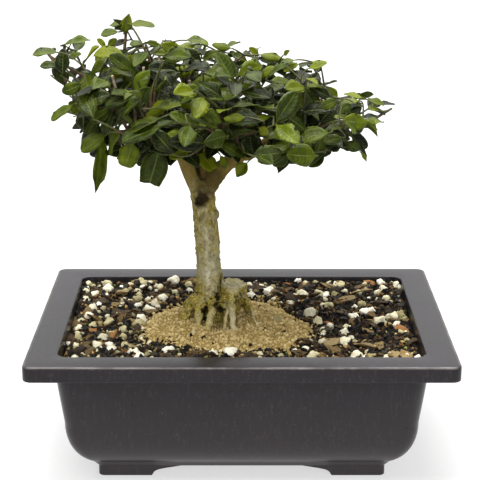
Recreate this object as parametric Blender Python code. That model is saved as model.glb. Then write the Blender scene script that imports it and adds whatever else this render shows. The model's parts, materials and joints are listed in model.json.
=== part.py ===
"""Chinese privet bonsai in a rectangular plastic training pot.

Metres, +Z up, front of the pot towards -Y. The origin is on the ground under the pot's centre.
Lists of points are in millimetres and are scaled where they are used.
"""

import math
import random

import bmesh
import bpy
from mathutils import Matrix, Vector
from mathutils.bvhtree import BVHTree

MM = 0.001
GAP = 0.0003  # air between two pieces that touch

# Pot, an 8.5 by 6.5 inch injection-moulded training pot
RIM_WIDTH = 0.216
RIM_DEPTH = 0.165
POT_HEIGHT = 0.0726
RIM_BAND = 0.008  # height of the turned-down lip
LIP = 0.0156  # from the rim's outer edge to the mouth
PLATE = 0.0022  # thickness of the lip
FOOT_HEIGHT = 0.006
FOOT_INSET = 0.0333
FOOT_WALL = 0.0032
FLOOR_TOP = 0.009
TURN_TOP = 0.034  # where the wall starts to turn in towards the base, an arc of an ellipse
TURN_INSET = 0.0175
TURN_DROP = 0.027
TURN_REACH = 0.0208
ARCH_TOP = 0.057  # width of the gap between two feet, at the pot's underside
ARCH_SPREAD = 0.0185  # how far each side of that gap widens down to the ground
DRAIN_RADIUS = 0.006
DRAIN_X = 0.04
CORNER_STEPS = 3

# Drain mesh, laid over each hole
MESH_SIDE = 0.024
MESH_THICK = 0.0014
MESH_BAR = 0.0016
MESH_CELLS = 4

# Potting mix and the sandy mound round the roots
MIX_LEVEL = 0.0648
MIX_BACK_RISE = 0.004
MOUND_CENTRE = Vector((-0.0075, -0.001))
MOUND_RADIUS = 0.043
MOUND_HEIGHT = 0.0078
MOUND_TILT = 0.07  # higher at the back, as a slope
PIT = Vector((-0.0095, -0.010, 0.0042))  # washed-out pit between the roots: place and depth
PIT_RADIUS = 0.009
MOUND_BOTTOM = 0.052
MOUND_TAPER = 0.8  # radius of the root ball's underside, as a share of the mound's
MOUND_SEGMENTS = 28
MOUND_RINGS = 7

# Leaves
BLADE = 0.0007
LEAF_CLEARANCE = 0.0003  # kept on each side of a leaf
LEAF_OUTLINE = ((0.24, 0.33), (0.50, 0.50), (0.79, 0.29))  # shares of the length, half widths
LEAF_PANELS = (  # both faces are split alike; 0 and 8 are the stalk's ends, 4 the tip, 9 the midrib
    (0, 8, 7), (0, 7, 1), (1, 7, 9), (1, 9, 2), (7, 6, 9), (2, 9, 3), (9, 5, 3), (9, 6, 5), (3, 5, 4),
)
LEAF_TRIES = (  # tilt about the midrib and turn in the blade's plane, in degrees, and size
    (0, 0, 1), (18, 8, 1), (-18, -8, 1), (32, -12, 0.94), (-32, 12, 0.94), (12, 24, 0.88),
    (-12, -22, 0.88), (45, 0, 0.8), (-45, 0, 0.8), (25, 32, 0.72), (-25, -32, 0.72),
)
LEAF_LIGHT = Vector((0, -0.35, 0.55))  # towards the light, which leaves turn to
PETIOLE = 0.0012
STEM_RADIUS = 0.0005
CROWN_CENTRE = Vector((-0.016, 0.0, 0.150))
CROWN_REACH = Vector((0.090, 0.062, 0.070))

# Wood. Each point is x, y, z and radius, in millimetres.
TRUNK = [
    (-14, 2, 56, 7.5),
    (-15, 2, 66, 9.2),
    (-16, 1.5, 74, 9.6),
    (-16.6, 1, 82, 8.2),
    (-17.2, 0.5, 91, 7.4),
    (-17.8, 0, 102, 6.4),
    (-18.4, 0, 115, 6.6),
    (-19.4, 0.3, 127, 6.2),
    (-20.3, 0.2, 136, 6.3),
    (-20.8, 0, 142.5, 6.3),
    (-21.2, 0, 147.5, 4.4),
]
STUB = [(-10, -1, 66, 6.4), (-7, -3, 78, 6.0), (-4.6, -4.5, 86, 6.6), (-3.8, -5, 91.5, 6.9)]
KNOTS = [(-13.4, -1.4, 128.6, 2.7), (-22.5, -5.2, 134, 2.2), (-24.5, -3.5, 80, 4.2), (-9, -6.5, 82, 4.0)]
ROOTS = {
    "front": [(-5.4, -9, 89, 2.6), (-5.6, -13.5, 82, 1.9), (-5.2, -17, 73, 1.6), (-5.0, -18.5, 60, 1.2)],
    "front_thin": [(-7, -8, 82, 1.5), (-7.6, -13, 77, 1.1), (-8.6, -15.5, 70, 1.0), (-9, -16.5, 61, 0.9)],
    "front_left": [(-14, -6, 82, 3.0), (-15.4, -11.5, 78, 2.2), (-17.4, -16, 72, 1.7), (-18, -18, 61, 1.2)],
    "left": [(-21, -4, 82, 3.2), (-22.8, -8.5, 77, 2.3), (-23.4, -12.5, 71, 1.8), (-23.8, -14.5, 61, 1.2)],
    "far_left": [(-21, 1, 83, 2.6), (-28, 0, 80, 1.8), (-33, -1.5, 76, 1.4), (-34.5, -3, 63, 1.0)],
    "right_thin": [(0, -9, 88, 1.5), (5, -12, 82, 1.0), (9.5, -15, 73, 0.9), (11.5, -16.5, 62, 0.8)],
    "right": [(0, -3, 87, 4.0), (4, -1.5, 81, 3.0), (7.5, 0, 74, 2.2), (9, 1, 61, 1.6)],
    "back_right": [(-12, 6, 80, 3.4), (-6, 12, 77, 2.6), (-2, 17, 72, 2.0), (-1, 19, 60, 1.4)],
    "back_left": [(-20, 6, 80, 3.4), (-26, 12, 77, 2.6), (-30, 16.5, 72, 2.0), (-31, 18, 60, 1.4)],
}
LIMBS = {
    "left": [
        (-21.4, 0, 139, 5.0),
        (-27, -1, 151, 4.3),
        (-32, -2, 162, 3.5),
        (-41, -4, 171, 2.9),
        (-54, -5, 178, 2.3),
        (-66, -5, 184, 1.8),
    ],
    "left_front": [(-30, -2, 159, 2.8), (-37, -12, 165, 2.3), (-45, -22, 170, 1.9), (-53, -29, 173, 1.5)],
    "left_back": [(-32, -2, 162, 2.8), (-40, 10, 172, 2.3), (-50, 19, 180, 1.9), (-58, 26, 185, 1.5)],
    "centre": [(-26, -0.5, 149, 3.6), (-24, 4, 160, 3.2), (-22, 5, 172, 2.5), (-25, 3, 187, 1.8)],
    "centre_front": [(-24.5, 2, 157, 2.6), (-19, -9, 165, 2.2), (-14, -20, 171, 1.8), (-10, -29, 174, 1.5)],
    "centre_back": [(-24, 4, 161, 2.6), (-18, 14, 171, 2.1), (-12, 24, 178, 1.8), (-7, 32, 182, 1.5)],
    "right": [
        (-19.6, 0, 138, 5.0),
        (-9.5, 0.5, 150, 4.0),
        (1, 2, 159, 3.2),
        (15, 1, 166, 2.7),
        (29, 2, 171, 2.2),
        (43, 1, 174, 1.7),
    ],
    "right_front": [(1, 2, 159, 2.6), (11, -11, 165, 2.1), (21, -19, 169, 1.8), (30, -25, 171, 1.5)],
    "right_back": [(6, 0, 161, 2.6), (17, 11, 169, 2.1), (27, 19, 174, 1.8), (36, 25, 177, 1.5)],
}

# Leafy sprays, front to back. Each has its stem's tip in millimetres, how far the stem arches over
# (or sags, below 0) as a share of its length, its pairs of leaves and its largest leaf in millimetres.
SPRAYS = [
    # front of the crown
    ((-72, -25, 187), -0.16, 2, 19),
    ((-73, -26, 168), 0.3, 1, 22),
    ((-67, -32, 200), -0.1, 3, 19),
    ((-58, -38, 175), 0.35, 2, 20),
    ((-42, -42, 174), 0.4, 2, 21),
    ((-41, -48, 189), 0.0, 2, 21),
    ((-54, -32, 210), -0.1, 3, 19),
    ((-40, -44, 203), -0.05, 2, 20),
    ((-28, -48, 190), 0.0, 2, 20),
    ((-30, -34, 173), 0.25, 2, 18),
    ((-16, -30, 158), 0.1, 2, 17),
    ((-31, -30, 212), -0.1, 2, 19),
    ((-14, -44, 200), 0.0, 2, 20),
    ((-6, -48, 188), 0.0, 2, 20),
    ((8, -46, 193), 0.0, 2, 19),
    ((1, -42, 178), 0.15, 2, 19),
    ((18, -47, 184), 0.1, 2, 21),
    ((21, -36, 172), 0.3, 2, 19),
    ((28, -40, 193), 0.0, 2, 20),
    ((38, -32, 178), 0.2, 2, 19),
    ((33, -24, 202), -0.1, 2, 19),
    ((13, -30, 207), -0.05, 2, 19),
    ((46, -22, 188), -0.1, 2, 17),
    ((57, -14, 173), 0.2, 2, 16),
    # middle
    ((-59, 0, 226), -0.3, 2, 16),
    ((-70, -6, 216), -0.2, 2, 16),
    ((-94, -4, 211), -0.1, 2, 15),
    ((-85, 2, 218), -0.25, 1, 15),
    ((-89, -8, 196), 0.0, 2, 16),
    ((-84, 6, 203), -0.16, 2, 17),
    ((-78, 4, 180), 0.1, 2, 17),
    ((-46, 0, 216), -0.2, 2, 17),
    ((-28, 4, 215), -0.2, 3, 18),
    ((-12, 2, 214), -0.25, 2, 16),
    ((8, 2, 210), -0.3, 2, 16),
    ((22, 0, 203), -0.2, 2, 17),
    ((36, 2, 202), -0.2, 2, 16),
    ((50, 2, 192), -0.16, 2, 15),
    ((61, -5, 191), -0.1, 2, 14),
    ((69, 4, 186), -0.1, 2, 14),
    ((60, -6, 181), 0.0, 2, 15),
    ((-2, -12, 164), 0.4, 1, 13),
    # back
    ((-68, 34, 203), -0.16, 2, 18),
    ((-50, 42, 199), -0.16, 2, 19),
    ((-30, 34, 207), -0.16, 2, 18),
    ((-10, 42, 198), -0.16, 2, 18),
    ((12, 36, 198), -0.16, 2, 18),
    ((36, 32, 190), -0.16, 2, 17),
    ((-80, 32, 186), 0.0, 2, 18),
    ((-58, 50, 178), 0.1, 2, 18),
    ((-32, 56, 182), 0.1, 2, 19),
    ((-4, 56, 178), 0.1, 2, 19),
    ((24, 48, 176), 0.1, 2, 18),
    ((52, 28, 176), 0.1, 2, 17),
]
SHOOT_BENDS = (  # sideways and upwards, as shares of the shoot's length
    (0, 0), (0.1, 0), (-0.1, 0), (0, 0.12), (0, -0.12), (0.2, 0.05), (-0.2, 0.05), (0.3, 0), (-0.3, 0),
    (0, 0.25), (0.2, 0.2), (-0.2, 0.2), (0.4, 0.1), (-0.4, 0.1),
)
SHOOT_ROOM = 0.0021  # least distance between the middles of two shoots
STEM_REACH = (0, 15 * MM, 23 * MM, 30 * MM)  # green stem by number of pairs; nearer the limb it is wood


def clear_scene():
    for obj in list(bpy.data.objects):
        bpy.data.objects.remove(obj, do_unlink=True)


def make_material(name, colour, roughness):
    """A Principled BSDF. The colour is linear."""
    material = bpy.data.materials.new(name)
    material.use_nodes = True
    shader = material.node_tree.nodes["Principled BSDF"]
    shader.inputs["Base Color"].default_value = (*colour, 1)
    shader.inputs["Roughness"].default_value = roughness
    shader.inputs["Metallic"].default_value = 0
    material.diffuse_color = (*colour, 1)
    return material


def add_object(name, mesh, collection, material=None):
    obj = bpy.data.objects.new(name, mesh)
    collection.objects.link(obj)
    if material:
        mesh.materials.clear()
        mesh.materials.append(material)
    return obj


def add_mesh(name, bm, collection, material=None):
    bmesh.ops.recalc_face_normals(bm, faces=bm.faces)
    mesh = bpy.data.meshes.new(name)
    bm.to_mesh(mesh)
    bm.free()
    return add_object(name, mesh, collection, material)


def evaluated_mesh(obj):
    bpy.context.view_layer.update()
    graph = bpy.context.evaluated_depsgraph_get()
    return bpy.data.meshes.new_from_object(obj.evaluated_get(graph))


def boolean(obj, operation, other=None, collection=None):
    """Joins other, or everything in collection, to obj or cuts it away, and applies the result."""
    modifier = obj.modifiers.new(operation, "BOOLEAN")
    modifier.operation = operation
    modifier.solver = "EXACT"
    if collection:
        modifier.operand_type = "COLLECTION"
        modifier.collection = collection
    else:
        modifier.object = other
    mesh = evaluated_mesh(obj)
    obj.modifiers.clear()
    obj.data = mesh


def remove_objects(objects):
    for obj in list(objects):
        bpy.data.objects.remove(obj, do_unlink=True)


def temporary_collection(name):
    collection = bpy.data.collections.new(name)
    bpy.context.scene.collection.children.link(collection)
    return collection


# Pot


def rounded_rectangle(half_x, half_y, radius, z):
    """One ring of points, anticlockwise seen from above."""
    points = []
    corners = [(1, 1, 0), (-1, 1, 90), (-1, -1, 180), (1, -1, 270)]
    for side_x, side_y, start in corners:
        centre = Vector((side_x * (half_x - radius), side_y * (half_y - radius), z))
        for step in range(CORNER_STEPS + 1):
            angle = math.radians(start + 90 * step / CORNER_STEPS)
            points.append(centre + radius * Vector((math.cos(angle), math.sin(angle), 0)))
    return points


def inset_ring(inset, z, radius):
    return rounded_rectangle(RIM_WIDTH / 2 - inset, RIM_DEPTH / 2 - inset, radius, z)


def loft(rings):
    """A closed body through rings of equal length, capped at both ends."""
    bm = bmesh.new()
    loops = [[bm.verts.new(point) for point in ring] for ring in rings]
    count = len(loops[0])
    for lower, upper in zip(loops, loops[1:]):
        for i in range(count):
            bm.faces.new((lower[i], lower[(i + 1) % count], upper[(i + 1) % count], upper[i]))
    bm.faces.new(list(reversed(loops[0])))
    bm.faces.new(loops[-1])
    return bm


def body_profile():
    """Outside of the pot's wall from under the lip down to its base, as inset, height, corner radius."""
    outline = [(0.0138, POT_HEIGHT - PLATE, 0.009), (0.0145, 0.056, 0.009)]
    for degrees in (0, 16, 30, 43, 55, 65):
        angle = math.radians(degrees)
        inset = TURN_INSET + TURN_REACH * (1 - math.cos(angle))
        height = TURN_TOP - TURN_DROP * math.sin(angle)
        outline.append((inset, height, 0.0085 - 0.004 * degrees / 65))
    return outline + [(0.0302, 0.0090, 0.004), (0.0326, FOOT_HEIGHT, 0.0035)]


def inner_profile(extra=0.0):
    """Inside of the pot's wall from the floor up to the mouth. extra narrows it on all sides."""
    return [
        (0.0330 + extra, FLOOR_TOP + extra, 0.004),
        (0.0295 + extra, 0.0118 + extra / 2, 0.005),
        (0.0250 + extra, 0.0180, 0.006),
        (0.0210 + extra, 0.0290, 0.0065),
        (0.0168 + extra, 0.056, 0.0065),
        (LIP + extra, POT_HEIGHT - PLATE, 0.0065),
    ]


def make_pot(collection, cutters, material):
    edge = 0.0008
    lip = [
        (LIP, POT_HEIGHT - edge, 0.0065),
        (LIP - edge, POT_HEIGHT, 0.0065),
        (edge, POT_HEIGHT, 0.0045),
        (0.0, POT_HEIGHT - edge, 0.0045),
        (0.0, POT_HEIGHT - RIM_BAND + edge, 0.0045),
        (edge, POT_HEIGHT - RIM_BAND, 0.0042),
        (PLATE, POT_HEIGHT - RIM_BAND, 0.0035),
        (PLATE, POT_HEIGHT - PLATE, 0.0035),
    ]
    profile = inner_profile() + lip + body_profile()
    pot = add_mesh("pot", loft([inset_ring(*point) for point in profile]), collection, material)

    feet = foot_ring(cutters)
    boolean(pot, "UNION", feet)
    for along_x in (True, False):
        boolean(pot, "DIFFERENCE", foot_arch(cutters, along_x))
    for side in (-1, 1):
        bm = bmesh.new()
        bmesh.ops.create_cone(
            bm,
            cap_ends=True,
            segments=16,
            radius1=DRAIN_RADIUS,
            radius2=DRAIN_RADIUS,
            depth=0.01,
            matrix=Matrix.Translation((side * DRAIN_X, 0, (FLOOR_TOP + FOOT_HEIGHT) / 2)),
        )
        boolean(pot, "DIFFERENCE", add_mesh("drain_cutter", bm, cutters))
    pot.data.set_sharp_from_angle(angle=math.radians(35))
    return pot


def foot_ring(cutters):
    """The band under the pot that the arches then divide into four feet."""
    rings = [
        inset_ring(FOOT_INSET, FOOT_HEIGHT + 0.0006, 0.003),
        inset_ring(FOOT_INSET, 0.0, 0.003),
        inset_ring(FOOT_INSET + FOOT_WALL, 0.0, 0.002),
        inset_ring(FOOT_INSET + FOOT_WALL, FOOT_HEIGHT + 0.0006, 0.002),
    ]
    bm = bmesh.new()
    loops = [[bm.verts.new(point) for point in ring] for ring in rings]
    count = len(loops[0])
    for lower, upper in zip(loops, loops[1:] + loops[:1]):
        for i in range(count):
            bm.faces.new((lower[i], lower[(i + 1) % count], upper[(i + 1) % count], upper[i]))
    return add_mesh("foot_ring", bm, cutters)


def foot_arch(cutters, along_x):
    """Cutter for the flat-topped gap between the feet, through both sides that face along one axis."""
    half_top = ARCH_TOP / 2 if not along_x else ARCH_TOP / 2 - 0.012
    half_length = RIM_WIDTH / 2
    outline = [(-half_top, FOOT_HEIGHT), (half_top, FOOT_HEIGHT)]
    for out, up in ((0.4, 0.82), (0.78, 0.6), (0.92, 0.38), (1.0, 0.0)):
        outline.append((half_top + ARCH_SPREAD * out, FOOT_HEIGHT * up))
    outline.append((outline[-1][0], -0.002))
    outline = outline + [(-x, z) for x, z in reversed(outline[2:])]
    bm = bmesh.new()
    verts = [bm.verts.new((x, -half_length, z)) for x, z in outline]
    face = bm.faces.new(verts)
    swept = bmesh.ops.extrude_face_region(bm, geom=[face])
    moved = [item for item in swept["geom"] if isinstance(item, bmesh.types.BMVert)]
    bmesh.ops.translate(bm, verts=moved, vec=(0, 2 * half_length, 0))
    if along_x:
        bmesh.ops.rotate(bm, verts=bm.verts, matrix=Matrix.Rotation(math.pi / 2, 3, "Z"))
    return add_mesh("arch_cutter", bm, cutters)


def make_drain_mesh(name, x, collection, cutters, material):
    """A square of plastic netting, with square holes cut through a plate."""
    z = FLOOR_TOP + GAP + MESH_THICK / 2
    bm = bmesh.new()
    bmesh.ops.create_cube(bm, size=1, matrix=Matrix.LocRotScale(
        Vector((x, 0, z)), None, Vector((MESH_SIDE, MESH_SIDE, MESH_THICK))))
    plate = add_mesh(name, bm, collection, material)
    pitch = (MESH_SIDE - MESH_BAR) / MESH_CELLS
    hole = pitch - MESH_BAR
    bm = bmesh.new()
    for row in range(MESH_CELLS):
        for column in range(MESH_CELLS):
            offset = Vector((column - (MESH_CELLS - 1) / 2, row - (MESH_CELLS - 1) / 2, 0)) * pitch
            bmesh.ops.create_cube(bm, size=1, matrix=Matrix.LocRotScale(
                Vector((x, 0, z)) + offset, None, Vector((hole, hole, 2 * MESH_THICK))))
    boolean(plate, "DIFFERENCE", add_mesh(name + "_holes", bm, cutters))
    return plate


# Potting mix and mound


def mound_outline(angle):
    """Radius of the sandy mound in each direction from its centre."""
    wave = 0.07 * math.cos(2 * angle + 0.6) + 0.05 * math.cos(3 * angle + 2.1) + 0.03 * math.cos(7 * angle)
    return MOUND_RADIUS * (1 + wave)


def mound_height(x, y):
    """Top of the mound: a low dome, higher at the back, with the pit washed out in front of the trunk."""
    offset = Vector((x, y)) - MOUND_CENTRE
    share = min(1.0, offset.length / mound_outline(math.atan2(offset.y, offset.x)))
    pit = PIT.z * math.exp(-((Vector((x, y)) - PIT.xy).length / PIT_RADIUS) ** 2)
    return MIX_LEVEL - 0.0004 + (MOUND_HEIGHT + MOUND_TILT * offset.y) * (1 - share**2.6) - pit


def mix_height(x, y):
    """Lumpy surface of the potting mix, a little higher along the back wall."""
    rise = MIX_BACK_RISE * max(0.0, y / (RIM_DEPTH / 2))
    grain = math.sin(x * 1100 + 3 * math.sin(y * 700)) * math.sin(y * 1200 + 2 * math.sin(x * 900))
    swell = math.sin(x * 95 + 1.0) * math.cos(y * 120)
    return MIX_LEVEL + rise + 0.0011 * grain + 0.0007 * swell


def make_mix(collection, cutters, material):
    """A block that fills the pot, with a rough top, a hollow for the mound and pockets over the drains."""
    mix = add_mesh("potting_mix", loft([inset_ring(*p) for p in inner_profile(GAP)]), collection, material)

    bm = bmesh.new()
    columns, rows = 18, 13
    bmesh.ops.create_grid(bm, x_segments=columns, y_segments=rows, size=0.5)
    for vert in bm.verts:
        x, y = vert.co.x * RIM_WIDTH, vert.co.y * RIM_DEPTH
        vert.co = (x, y, mix_height(x, y))
    top = bmesh.ops.extrude_face_region(bm, geom=list(bm.faces))
    for item in top["geom"]:
        if isinstance(item, bmesh.types.BMVert):
            item.co.z = POT_HEIGHT + 0.01
    boolean(mix, "DIFFERENCE", add_mesh("mix_top_cutter", bm, cutters))

    lumps = temporary_collection("lumps")
    chance = random.Random(7)
    placed = 0
    while placed < 24:
        x = chance.uniform(-0.086, 0.086)
        y = chance.uniform(-0.060, 0.060)
        offset = Vector((x, y)) - MOUND_CENTRE
        size = chance.uniform(0.0024, 0.0040)
        flat = chance.uniform(0.5, 0.9)
        turn = chance.uniform(0, math.pi)
        if offset.length < mound_outline(math.atan2(offset.y, offset.x)) + 0.0045:
            continue
        bm = bmesh.new()
        bmesh.ops.create_icosphere(bm, subdivisions=1, radius=size)
        scale = Vector((1.25, 0.85, flat))
        place = Matrix.LocRotScale(Vector((x, y, mix_height(x, y) + 0.0003)), None, None)
        bmesh.ops.transform(bm, matrix=place @ Matrix.Rotation(turn, 4, "Z") @ Matrix.Diagonal((*scale, 1)),
                            verts=bm.verts)
        add_mesh("lump", bm, lumps)
        placed += 1
    boolean(mix, "UNION", collection=lumps)
    remove_objects(lumps.objects)
    bpy.data.collections.remove(lumps)

    hollow = [ball_ring(1.0, POT_HEIGHT, GAP), ball_ring(1.0, MIX_LEVEL - 0.003, GAP),
              ball_ring(MOUND_TAPER, MOUND_BOTTOM - GAP, GAP)]
    boolean(mix, "DIFFERENCE", add_mesh("mound_hollow", loft(hollow), cutters))
    for side in (-1, 1):
        bm = bmesh.new()
        top = FLOOR_TOP + GAP + MESH_THICK + GAP
        pocket = MESH_SIDE + 2 * GAP
        bmesh.ops.create_cube(bm, size=1, matrix=Matrix.LocRotScale(
            Vector((side * DRAIN_X, 0, top / 2)), None, Vector((pocket, pocket, top))))
        boolean(mix, "DIFFERENCE", add_mesh("mesh_pocket", bm, cutters))
    return mix


def ball_ring(share, z, extra=0.0):
    """One ring of the root ball at a share of the mound's outline."""
    ring = []
    for i in range(MOUND_SEGMENTS):
        angle = 2 * math.pi * i / MOUND_SEGMENTS
        radius = mound_outline(angle) * share + extra
        ring.append(Vector((MOUND_CENTRE.x + radius * math.cos(angle),
                            MOUND_CENTRE.y + radius * math.sin(angle), z)))
    return ring


def make_mound(collection, root_cutters, material):
    """The sandy root ball: a low granular dome above the mix, a blunt plug below it."""
    rings = [ball_ring(MOUND_TAPER, MOUND_BOTTOM), ball_ring(1.0, MIX_LEVEL - 0.003)]
    chance = random.Random(3)
    for step in range(MOUND_RINGS):
        ring = ball_ring(1 - step / MOUND_RINGS, 0.0)
        for point in ring:
            point.z = mound_height(point.x, point.y) + chance.uniform(-0.0006, 0.0006)
        rings.append(ring)
    bm = loft(rings)
    bmesh.ops.triangulate(bm, faces=bm.faces)
    mound = add_mesh("sandy_mound", bm, collection, material)
    boolean(mound, "DIFFERENCE", collection=root_cutters)
    return mound


# Wood


def tube(name, points, collection, resolution, grow=0.0):
    """A closed tapering tube through points in metres, with their radii. grow widens and lengthens it."""
    ends = [Vector(p[:3]) for p in points]
    if grow:
        ends[0] += (ends[0] - ends[1]).normalized() * grow
        ends[-1] += (ends[-1] - ends[-2]).normalized() * grow
    curve = bpy.data.curves.new(name, "CURVE")
    curve.dimensions = "3D"
    curve.bevel_depth = 1.0
    curve.bevel_resolution = resolution
    curve.use_fill_caps = True
    spline = curve.splines.new("POLY")
    spline.points.add(len(points) - 1)
    for target, place, source in zip(spline.points, ends, points):
        target.co = (*place, 1)
        target.radius = source[3] + grow
    helper = bpy.data.objects.new(name + "_curve", curve)
    collection.objects.link(helper)
    mesh = evaluated_mesh(helper)
    bpy.data.objects.remove(helper, do_unlink=True)
    bm = bmesh.new()
    bm.from_mesh(mesh)
    bmesh.ops.remove_doubles(bm, verts=bm.verts, dist=0.00001)
    return add_mesh(name, bm, collection)


def in_metres(points):
    return [tuple(value * MM for value in point) for point in points]


def along(points, share):
    """The point and radius at a share of a limb's length."""
    spans = [(Vector(b[:3]) - Vector(a[:3])).length for a, b in zip(points, points[1:])]
    left = share * sum(spans)
    for a, b, span in zip(points, points[1:], spans):
        if left <= span or b is points[-1]:
            t = min(1.0, left / span)
            return Vector(a[:3]).lerp(Vector(b[:3]), t), a[3] + (b[3] - a[3]) * t
        left -= span


def twig_start(tip):
    """The point of a limb that a shoot to this tip would most naturally leave from."""
    best = None
    for points in LIMBS.values():
        limb = in_metres(points)
        for step in range(4, 15):
            place, _ = along(limb, step / 14)
            before, _ = along(limb, step / 14 - 0.1)
            reach = tip - place
            turn = 1 - reach.normalized().dot((place - before).normalized())
            cost = reach.length * (1 + 0.5 * turn)
            if best is None or cost < best[0]:
                best = (cost, place)
    return best[1]


def on_shoot(shoot, t):
    """The point at t, from 0 to 1, of a shoot's curve, which its start, bend and end define."""
    start, bend, end = shoot
    return (1 - t) ** 2 * start + 2 * t * (1 - t) * bend + t**2 * end


def shoot_length(shoot):
    samples = [on_shoot(shoot, i / 20) for i in range(21)]
    return sum((b - a).length for a, b in zip(samples, samples[1:]))


def green_from(shoot, pairs):
    """Where along its shoot a spray's green stem begins."""
    return max(0.3, 1 - STEM_REACH[pairs] / shoot_length(shoot))


def shoot_samples(shoot, pairs):
    """Points along a shoot's wood and along its green stem."""
    split = green_from(shoot, pairs)
    wood = [on_shoot(shoot, split * i / 8) for i in range(2, 9)]
    green = [on_shoot(shoot, split + (1 - split) * i / 10) for i in range(11)]
    return wood, green


def nearest(points, others):
    return min(((a - b).length for a in points for b in others), default=1.0)


def plan_shoots():
    """Every shoot's curve, bent aside where its green stem would touch a limb or another shoot."""
    limbs = []
    for points in LIMBS.values():
        limb = in_metres(points)
        limbs += [along(limb, i / 40) for i in range(41)]
    shoots, woods, greens = [], [], []
    for tip, arch, pairs, _ in SPRAYS:
        end = Vector(tip) * MM
        start = twig_start(end)
        reach = (end - start).length
        aside = (end - start).cross(Vector((0, 0, 1))).normalized()
        best = None
        for sideways, lift in SHOOT_BENDS:
            bend = (start + end) / 2 + reach * Vector((0, 0, arch + lift)) + reach * sideways * aside
            shoot = (start, bend, end)
            wood, green = shoot_samples(shoot, pairs)
            room = min(
                min((point - place).length - radius for point in green for place, radius in limbs),
                nearest(green, woods + greens),
                nearest(wood, greens),
            )
            if best is None or room > best[0]:
                best = (room, shoot, wood, green)
            if room > SHOOT_ROOM:
                break
        shoots.append(best[1])
        woods += best[2]
        greens += best[3]
    return shoots


def wood_points(shoot, pairs):
    """The woody foot of a shoot, from inside the limb to where the green stem begins."""
    split = green_from(shoot, pairs)
    count = 3 if split * shoot_length(shoot) > 0.02 else 2
    places = [on_shoot(shoot, split * i / (count - 1)) for i in range(count)]
    return [(*place, 0.0011 - 0.0003 * i / (count - 1)) for i, place in enumerate(places)]


def add_knot(name, x, y, z, radius, collection):
    bm = bmesh.new()
    bmesh.ops.create_icosphere(bm, subdivisions=1, radius=radius * MM,
                               matrix=Matrix.Translation(Vector((x, y, z)) * MM))
    return add_mesh(name, bm, collection)


def make_tree(shoots, collection, material):
    """Trunk, roots, limbs and woody twigs, grown as one piece."""
    tree = tube("tree", in_metres(TRUNK), collection, 4)
    tree.data.materials.append(material)
    pieces = temporary_collection("wood")
    tube("stub", in_metres(STUB), pieces, 3)
    for name, points in ROOTS.items():
        tube(name, in_metres(points), pieces, 1)
    for name, points in LIMBS.items():
        tube(name, in_metres(points), pieces, 2 if name in ("left", "right", "centre") else 1)
    for i, knot in enumerate(KNOTS):
        add_knot(f"knot_{i}", *knot, pieces)
    for shoot, row in zip(shoots, SPRAYS):
        tube("twig", wood_points(shoot, row[2]), pieces, 0)
    boolean(tree, "UNION", collection=pieces)
    remove_objects(pieces.objects)
    bpy.data.collections.remove(pieces)
    return tree


def make_root_cutters(cutters):
    """The trunk's foot, the stub and the roots, each a gap wider all round, to cut holes in the mound."""
    holes = temporary_collection("root_holes")
    holes.hide_render = True
    tube("trunk_hole", in_metres(TRUNK[:4]), holes, 4, GAP)
    tube("stub_hole", in_metres(STUB), holes, 3, GAP)
    for name, points in ROOTS.items():
        tube(name + "_hole", in_metres(points), holes, 1, GAP)
    for obj in holes.objects:
        obj.hide_render = True
        obj.display_type = "WIRE"
    return holes


# Leaves


def crown_normal(place):
    """Which way the crown's surface faces near a point."""
    offset = place - CROWN_CENTRE
    scaled = Vector((offset.x / CROWN_REACH.x**2, offset.y / CROWN_REACH.y**2, offset.z / CROWN_REACH.z**2))
    return scaled.normalized()


def stem_rings(shoot, pairs):
    """Square rings along a green stem, two for each pair of leaves, and the frame of each ring.

    A frame is the stem's axis, a direction across it and one out of the crown. The corners of a ring
    run anticlockwise seen from the tip, so side 0 of the stem faces out, 1 and 3 face across, 2 faces in.
    """
    length = shoot_length(shoot)
    start = green_from(shoot, pairs) + GAP / length
    nodes = [start + (1 - start) * (k + 0.75) / (pairs + 0.1) for k in range(pairs)]
    half = PETIOLE / 2 / length
    stations = [start] + [node + side * half for node in nodes for side in (-1, 1)] + [1.0]
    rings, frames = [], []
    out = crown_normal(shoot[2]) + Vector((0, 0, 0.5))
    for t in stations:
        axis = (on_shoot(shoot, t + 0.01) - on_shoot(shoot, t - 0.01)).normalized()
        out = (out - axis * out.dot(axis)).normalized()
        across = out.cross(axis)
        radius = STEM_RADIUS * (1.15 - 0.35 * (t - start) / (1 - start))
        corners = [(1, 1), (-1, 1), (-1, -1), (1, -1)]
        rings.append([on_shoot(shoot, t) + radius * (a * across + o * out) for a, o in corners])
        frames.append((axis, across, out))
    return rings, frames


def blade_points(pose, thickness):
    """Upper and lower points of a blade: its outline from the stalk round the tip, then the midrib."""
    matrix, length, width, fold, arch = pose
    outline = [(share, half) for share, half in LEAF_OUTLINE] + [(1.0, 0.0)]
    outline += [(share, -half) for share, half in reversed(LEAF_OUTLINE)]
    places = []
    for share, half in outline:
        places.append((share * length, half * width, fold * abs(half) * width - arch * length * share**2))
    middle = LEAF_OUTLINE[1][0]
    places.append((middle * length, 0, -arch * length * middle**2))
    lift = Vector((0, 0, thickness / 2))
    return [[matrix @ (Vector(place) + side * lift) for place in places] for side in (1, -1)]


def blade_faces(upper, lower):
    """Both faces and the rim of a blade, whose ten points are the stalk's two ends round its outline."""
    faces = [[upper[i] for i in panel] for panel in LEAF_PANELS]
    faces += [[lower[i] for i in reversed(panel)] for panel in LEAF_PANELS]
    faces += [[lower[i], lower[i + 1], upper[i + 1], upper[i]] for i in range(8)]
    return faces


def leaf_matrix(base, direction, normal):
    """The frame that lays a blade along direction with its upper side along normal."""
    x = direction.normalized()
    y = normal.cross(x).normalized()
    return Matrix.Translation(base) @ Matrix((x, y, x.cross(y))).transposed().to_4x4()


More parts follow.
